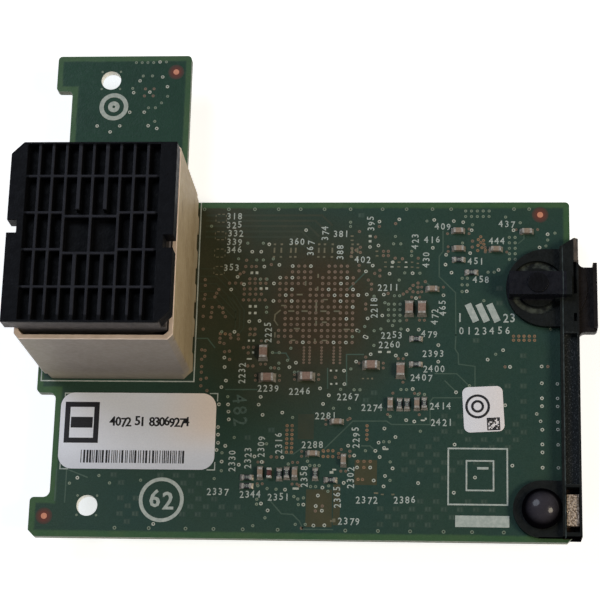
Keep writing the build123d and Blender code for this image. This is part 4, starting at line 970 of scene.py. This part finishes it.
# Edge rail and its pins.
# One black glass-filled nylon moulding is pushed over the board's edge and held by two snap pins, one
# round-headed and one a glossy dome. A plated block with a grainy face shows in the lower slot.
nylon = new_material("rail_nylon", (32, 33, 34), 0.42, Specular_IOR_Level=0.16)
spot = on_board(nylon)
tone = cloudy(nylon, 0.5, (27, 30, 30), (35, 38, 38), 4.0)
groove = times(nylon, between(nylon, depth_in_box(nylon, spot, 85.9, 8.9, 88.3, 34.0), -0.2, 0.2), 0.7)
tone = mix(nylon, groove, tone, cloudy(nylon, 2.5, (54, 58, 59), (40, 43, 44)))
bridge = between(nylon, depth_in_box(nylon, spot, 77.0, 39.6, 86.5, 44.0), -0.2, 0.2)
tone = mix(nylon, bridge, tone, cloudy(nylon, 0.7, (27, 28, 34), (33, 34, 40)))
tongue = between(nylon, split(nylon, spot)[0], 88.2, 88.8)
tone = mix(nylon, tongue, tone, cloudy(nylon, 0.6, (33, 30, 30), (39, 35, 35)))
# Painted shade: the rail's front end is painted near black.
front_end_painted_shade = between(nylon, split(nylon, spot)[1], 0.72, 0.62)
tone = mix(nylon, front_end_painted_shade, tone, (8, 8, 9))
# Painted glints: pale specks scattered in the groove.
groove_painted_glints = times(nylon, groove, between(nylon, noise(nylon, 4.5, 2.0), 0.72, 0.95))
tone = mix(nylon, groove_painted_glints, tone, (104, 108, 110))
# Painted highlight: a broken pale glint line along the groove's left edge.
off_edge = calc(nylon, "ABSOLUTE", calc(nylon, "SUBTRACT", split(nylon, spot)[0], 85.95))
painted_glint_line = times(nylon, between(nylon, off_edge, 0.12, 0.04), 0.7)
tone = mix(nylon, times(nylon, painted_glint_line, noise(nylon, 0.8, 2.0, low=0.1, high=1.0)), tone, (88, 100, 102))
# Painted sheen: broken grey arcs round the pin hole, standing in for glossy highlights.
away = vector(nylon, "SUBTRACT", spot, (81.9, 41.8, 0.0))
away = vector(nylon, "MULTIPLY", away, (1.0, 1.0, 0.0))
off_ring = calc(nylon, "ABSOLUTE", calc(nylon, "SUBTRACT", length_of(nylon, away), 3.95))
ring_painted_sheen = times(nylon, between(nylon, off_ring, 0.6, 0.3), between(nylon, split(nylon, spot)[2], 1.95, 1.8))
ring_painted_sheen = times(nylon, ring_painted_sheen, noise(nylon, 0.9, 3.0, low=-0.3, high=1.1))
tone = mix(nylon, ring_painted_sheen, tone, (84, 90, 84))
# Painted highlight: a brown-grey strip on the slanted tip at the rail's far end.
slope_painted_highlight = between(nylon, split(nylon, spot)[1], 45.6, 46.0)
slope_painted_highlight = times(nylon, slope_painted_highlight, between(nylon, split(nylon, spot)[0], 87.7, 87.9))
tone = mix(nylon, slope_painted_highlight, tone, cloudy(nylon, 0.8, (92, 84, 78), (48, 44, 42)))
# Specular is taken away on the front end too, as part of its painted shade.
drive(nylon, "Specular IOR Level", times(nylon, calc(nylon, "SUBTRACT", 1.0, front_end_painted_shade), 0.16))
gloss = noise(nylon, 1.4, 4.0, low=0.32, high=0.55)
dress("edge_rail", surface(nylon, tone, gloss, noise(nylon, 2.0, 4.0), depth=0.03))
soften("edge_rail", 0.14)

pin_black = cloudy_paint(
    "pin_nylon", (28, 28, 30), 0.3, (0.8, 3.0), (18, 18, 21), (24, 24, 28), 2.0, 0.02, Specular_IOR_Level=0.3,
)
dress("retaining_pin", pin_black)
soften("retaining_pin", 0.15)
dome = new_material("dome_polymer", (66, 64, 70), 0.3, Specular_IOR_Level=0.1, Coat_Weight=0.4, Coat_Roughness=0.08)
# Painted shade: the dome is painted near black towards its foot, and its coat and specular fade out there.
painted_foot_shading = between(dome, split(dome, on_board(dome))[2], 3.5, 2.2)
tone = mix(dome, painted_foot_shading, cloudy(dome, 0.4, (71, 68, 75), (58, 56, 62), 4.0), (16, 15, 18))
dome = surface(dome, tone, noise(dome, 1.5, low=0.2, high=0.32), noise(dome, 1.2), depth=0.02)
for socket, most in (("Coat Weight", 0.4), ("Specular IOR Level", 0.1)):
    drive(dome, socket, times(dome, calc(dome, "SUBTRACT", 1.0, painted_foot_shading), most))
dress("dome_button", dome)
pad_metal = new_material("pad_plating", (176, 158, 140), 0.38, Metallic=0.4)
grit = between(pad_metal, noise(pad_metal, 3.2, 4.0), 0.25, 0.75)
pad_tone = mix(pad_metal, grit, (124, 106, 88), (206, 188, 170))
gloss = noise(pad_metal, 3.0, low=0.3, high=0.6)
dress("edge_contact_pad", surface(pad_metal, pad_tone, gloss, noise(pad_metal, 3.2, 4.0), depth=0.06))


# Ejector marks in the rail.
# The pins that push the moulding out of its tool leave shallow round marks on the groove's floor. Two of
# them show in the lower half of the rail, each as a thin ring, darker and lighter by turns.
marks = bmesh.new()
rail_height, groove_depth = 2.0, 1.2
groove_floor = rail_height - groove_depth + 0.02
for y in (30.6, 13.1):
    add_ring(marks, 87.15, y, 1.35, 1.1, groove_floor, 24)
open_rings(marks)
mark_paint = cloudy_paint("ejector_mark", (58, 60, 62), 0.4, (1.2,), (30, 31, 33), (72, 74, 76), 4.0, 0.02)
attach(piece("ejector_marks", marks, mark_paint), "root")


# Underside plating and print.
# The same holes show on the component side, which has its own silk-screen: an outline round every part,
# a plain number beside it and bus tracks from the controller to the connector.
def turn_under(body):
    """Turns what was drawn on the upper face about the board's middle line, onto the underside."""
    middle = Vector(((board_low[0] + board_high[0]) / 2, 0.0, (board_low[2] + board_high[2]) / 2))
    turn = Matrix.Translation(middle) @ Matrix.Rotation(math.pi, 4, "Y") @ Matrix.Translation(-middle)
    bmesh.ops.transform(body, matrix=turn, verts=body.verts)


def from_below(low, high):
    """Middle, half size and face height of an underside solid, in millimetres as seen from below."""
    middle = (low + high) / 2 * 1000 - Vector(corner_mm)
    half = (high - low) * 500
    return board_width - middle.x, middle.y, half.x, half.y, (board_low[2] - low.z) * 1000


board_width = (board_high[0] - board_low[0]) * 1000
beyond_face = 0.00004
through = -(board_high[2] - board_low[2]) - beyond_face
for upper in ("tinned_vias", "covered_vias", "screw_hole_vias", "bare_vias", "gilt_vias"):
    lower = bmesh.new()
    source = bpy.data.objects[upper].data
    lower.from_mesh(source)
    bmesh.ops.translate(lower, verts=lower.verts, vec=(0.0, 0.0, through))
    made = piece("underside_" + upper, lower, *source.materials)
    made.data.flip_normals()
    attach(made, "root")

under_silk = bmesh.new()
under_number = 201
for node, gap in (
    ("inductor_bodies", 0.5), ("can_bases", 0.5), ("regulators", 0.6), ("memory_bodies", 1.5),
    ("crystal_base", 0.5), ("bulk_capacitor_bodies", 0.5), ("rear_capacitor_bodies", 0.35), ("heat_sink", 0.6),
):
    for low, high in solids_of(node):
        x, y, half_x, half_y, face = from_below(low, high)
        if node == "rear_capacitor_bodies":
            half_x += 0.35
        wide, deep = half_x + gap, half_y + gap
        left, right, front, back = x - wide, x + wide, y - deep, y + deep
        outline = [(left, front), (right, front), (right, back), (left, back), (left, front)]
        add_strip(under_silk, outline, 0.16, 0.03)
        if node not in ("heat_sink", "rear_capacitor_bodies"):
            add_number(under_silk, str(under_number), x, y + deep + 1.0)
            add_ring(under_silk, x - wide - 0.5, y - deep + 0.3, 0.5, 0.2, 0.03, 16)
        under_number += 7
add_number(under_silk, "0", 60.0, 3.2, 0, 1.6)
open_rings(under_silk)
turn_under(under_silk)
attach(piece("underside_silk_print", under_silk, ink), "root")

bus = bmesh.new()
for number in range(14):
    start = 44.0 - 1.15 * number
    bend = 57.5 + 0.35 * number
    rise = start + 4.0
    add_strip(bus, [(52.0, start), (bend - 4.0, start), (bend, rise), (66.0, rise)], 0.2, 0.012)
    x, y = 26.0 + 1.1 * number, 18.6 - 0.2 * number
    add_strip(bus, [(x, 23.0), (x, y), (x - 6.0, y - 6.0)], 0.2, 0.01)
turn_under(bus)
underside_tracks_paint = see_through_mask("underside_track", (74, 96, 78), (62, 84, 70))
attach(piece("underside_tracks", bus, underside_tracks_paint), "root")

under_fillets = bmesh.new()
add_fillets(under_fillets, "rear_capacitor_ends", "rear_capacitor_bodies", 0.34, 0.6)
add_fillets(under_fillets, "inductor_feet", "inductor_bodies", 0.5, 0.9)
add_fillets(under_fillets, "bulk_capacitor_feet", "bulk_capacitor_bodies", 0.6, 0.9)
underside_solder_fillets_paint = solder("underside_fillet_solder")
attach(piece("underside_solder_fillets", under_fillets, underside_solder_fillets_paint), "root")
dress("rear_capacitor_bodies", ceramic("rear_capacitor_ceramic", (162, 140, 122), (134, 112, 98)))
dress("rear_capacitor_ends", solder("rear_capacitor_tin", (214, 208, 198), (168, 160, 150)))


# Controller and its heat sink.
# A ball-grid package: green carrier laminate, black moulding with bevelled edges, a soft grey pad and a
# sawn aluminium sink whose fins show the lines of the extrusion die.
dress("controller_balls", solder("ball_solder"))
carrier = new_material("carrier_laminate", (58, 92, 60), 0.4)
weave = noise(carrier, 1.5, 3.0, place=place_in(carrier, (1000.0, 3000.0, 1000.0)))
tone = mix(carrier, weave, (52, 84, 54), (66, 100, 66))
dress("controller_base", surface(carrier, tone, height=weave, depth=0.01))


def moulding(name, colour, other):
    """Epoxy moulding compound: matt black with fine flakes."""
    material = new_material(name, colour, 0.6, Specular_IOR_Level=0.3)
    flakes = noise(material, 7.0, 4.0)
    tone = mix(material, flakes, colour, other)
    return surface(material, tone, noise(material, 2.0, low=0.5, high=0.68), flakes, depth=0.012)


dress("controller_cover", moulding("controller_moulding", (34, 34, 36), (44, 44, 46)))
dress("thermal_pad", ceramic("thermal_pad_silicone", (140, 146, 156), (122, 128, 138)))
sink = new_material("sink_aluminium", (176, 178, 180), 0.36, Metallic=0.75)
lines = noise(sink, 1.0, 4.0, place=place_in(sink, (4200.0, 120.0, 2600.0)))
tone = mix(sink, lines, (188, 190, 192), (148, 150, 153))
dress("heat_sink", surface(sink, tone, between(sink, lines, 0.0, 1.0, 0.3, 0.5), lines, depth=0.02))
soften("heat_sink", 0.1)


# Power and timing parts of the underside.
# Pressed ferrite inductors, crimped aluminium cans on moulded bases, black moulded regulators and memory
# chips on tinned leads, a ceramic crystal with a welded lid, and ochre bulk capacitors with a dark bar.
ferrite = new_material("inductor_ferrite", (62, 62, 66), 0.6)
grains = noise(ferrite, 5.0, 5.0)
tone = mix(ferrite, grains, (48, 48, 52), (84, 84, 88))
dress("inductor_bodies", surface(ferrite, tone, height=grains, depth=0.04))
soften("inductor_bodies", 0.2)
can_skin = new_material("can_aluminium", (192, 194, 196), 0.3, Metallic=0.8)
brushed = noise(can_skin, 1.0, 3.0, place=place_in(can_skin, (300.0, 300.0, 6000.0)))
tone = mix(can_skin, brushed, (200, 202, 204), (168, 170, 173))
dress("can_capacitors", surface(can_skin, tone, height=brushed, depth=0.01))
dress("can_bases", moulding("can_base_moulding", (28, 28, 30), (38, 38, 40)))
dress("regulators", moulding("regulator_moulding", (32, 32, 34), (42, 42, 44)))
dress("memory_bodies", moulding("memory_moulding", (30, 30, 33), (40, 40, 43)))
for node in ("memory_leads", "inductor_feet", "bulk_capacitor_feet"):
    dress(node, solder(node + "_tin", (206, 204, 198), (164, 162, 156)))
dress("crystal_base", ceramic("crystal_ceramic", (96, 78, 64), (78, 62, 52)))
dress("crystal_lid", cloudy_paint(
    "crystal_lid_metal", (206, 196, 168), 0.28, (2.0,), (212, 202, 176), (184, 174, 150), 5.0, 0.01, Metallic=0.85,
))
dress("bulk_capacitor_bodies", cloudy_paint(
    "bulk_cap_moulding", (196, 146, 66), 0.5, (1.5, 4.0), (202, 152, 70), (178, 128, 56), 4.0, 0.02,
))

tops, bars = bmesh.new(), bmesh.new()
print_rise = 0.012
for node, number, tall in (
    ("inductor_bodies", "220", 1.9), ("can_capacitors", "100", 1.5), ("regulators", "12", 0.9),
    ("memory_bodies", "34", 0.8), ("crystal_lid", "250", 0.9),
):
    for low, high in solids_of(node):
        x, y, half_x, half_y, face = from_below(low, high)
        add_number(tops, number, x, y, 0, tall, tall * 0.85, face + print_rise)
for node, across in (("regulators", 0.6), ("memory_bodies", 0.7)):
    for low, high in solids_of(node):
        x, y, half_x, half_y, face = from_below(low, high)
        add_ring(tops, x - half_x + 0.65, y - half_y + 0.65, across, across * 0.55, face + print_rise, 20)
turn_under(tops)
open_rings(tops)
laser = cloudy_paint("laser_mark", (150, 150, 150), 0.7, (3.0,), (132, 132, 134), (168, 168, 168), 8.0, 0.01)
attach(piece("part_figures", tops, laser), "root")
for low, high in solids_of("bulk_capacitor_bodies"):
    x, y, half_x, half_y, face = from_below(low, high)
    bar_y = y + half_y - 0.9
    add_strip(bars, [(x - half_x + 0.75, bar_y), (x + half_x - 0.75, bar_y)], 0.8, face + print_rise)
    add_number(bars, "107", x, y - 0.4, 0, 1.2, 0.95, face + print_rise)
for low, high in solids_of("can_capacitors"):
    x, y, half_x, half_y, face = from_below(low, high)
    add_strip(bars, [(x - 1.4, y + half_y - 0.95), (x + 1.4, y + half_y - 0.95)], 0.7, face + 0.014)
turn_under(bars)
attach(piece("polarity_bars", bars, black_ink), "root")
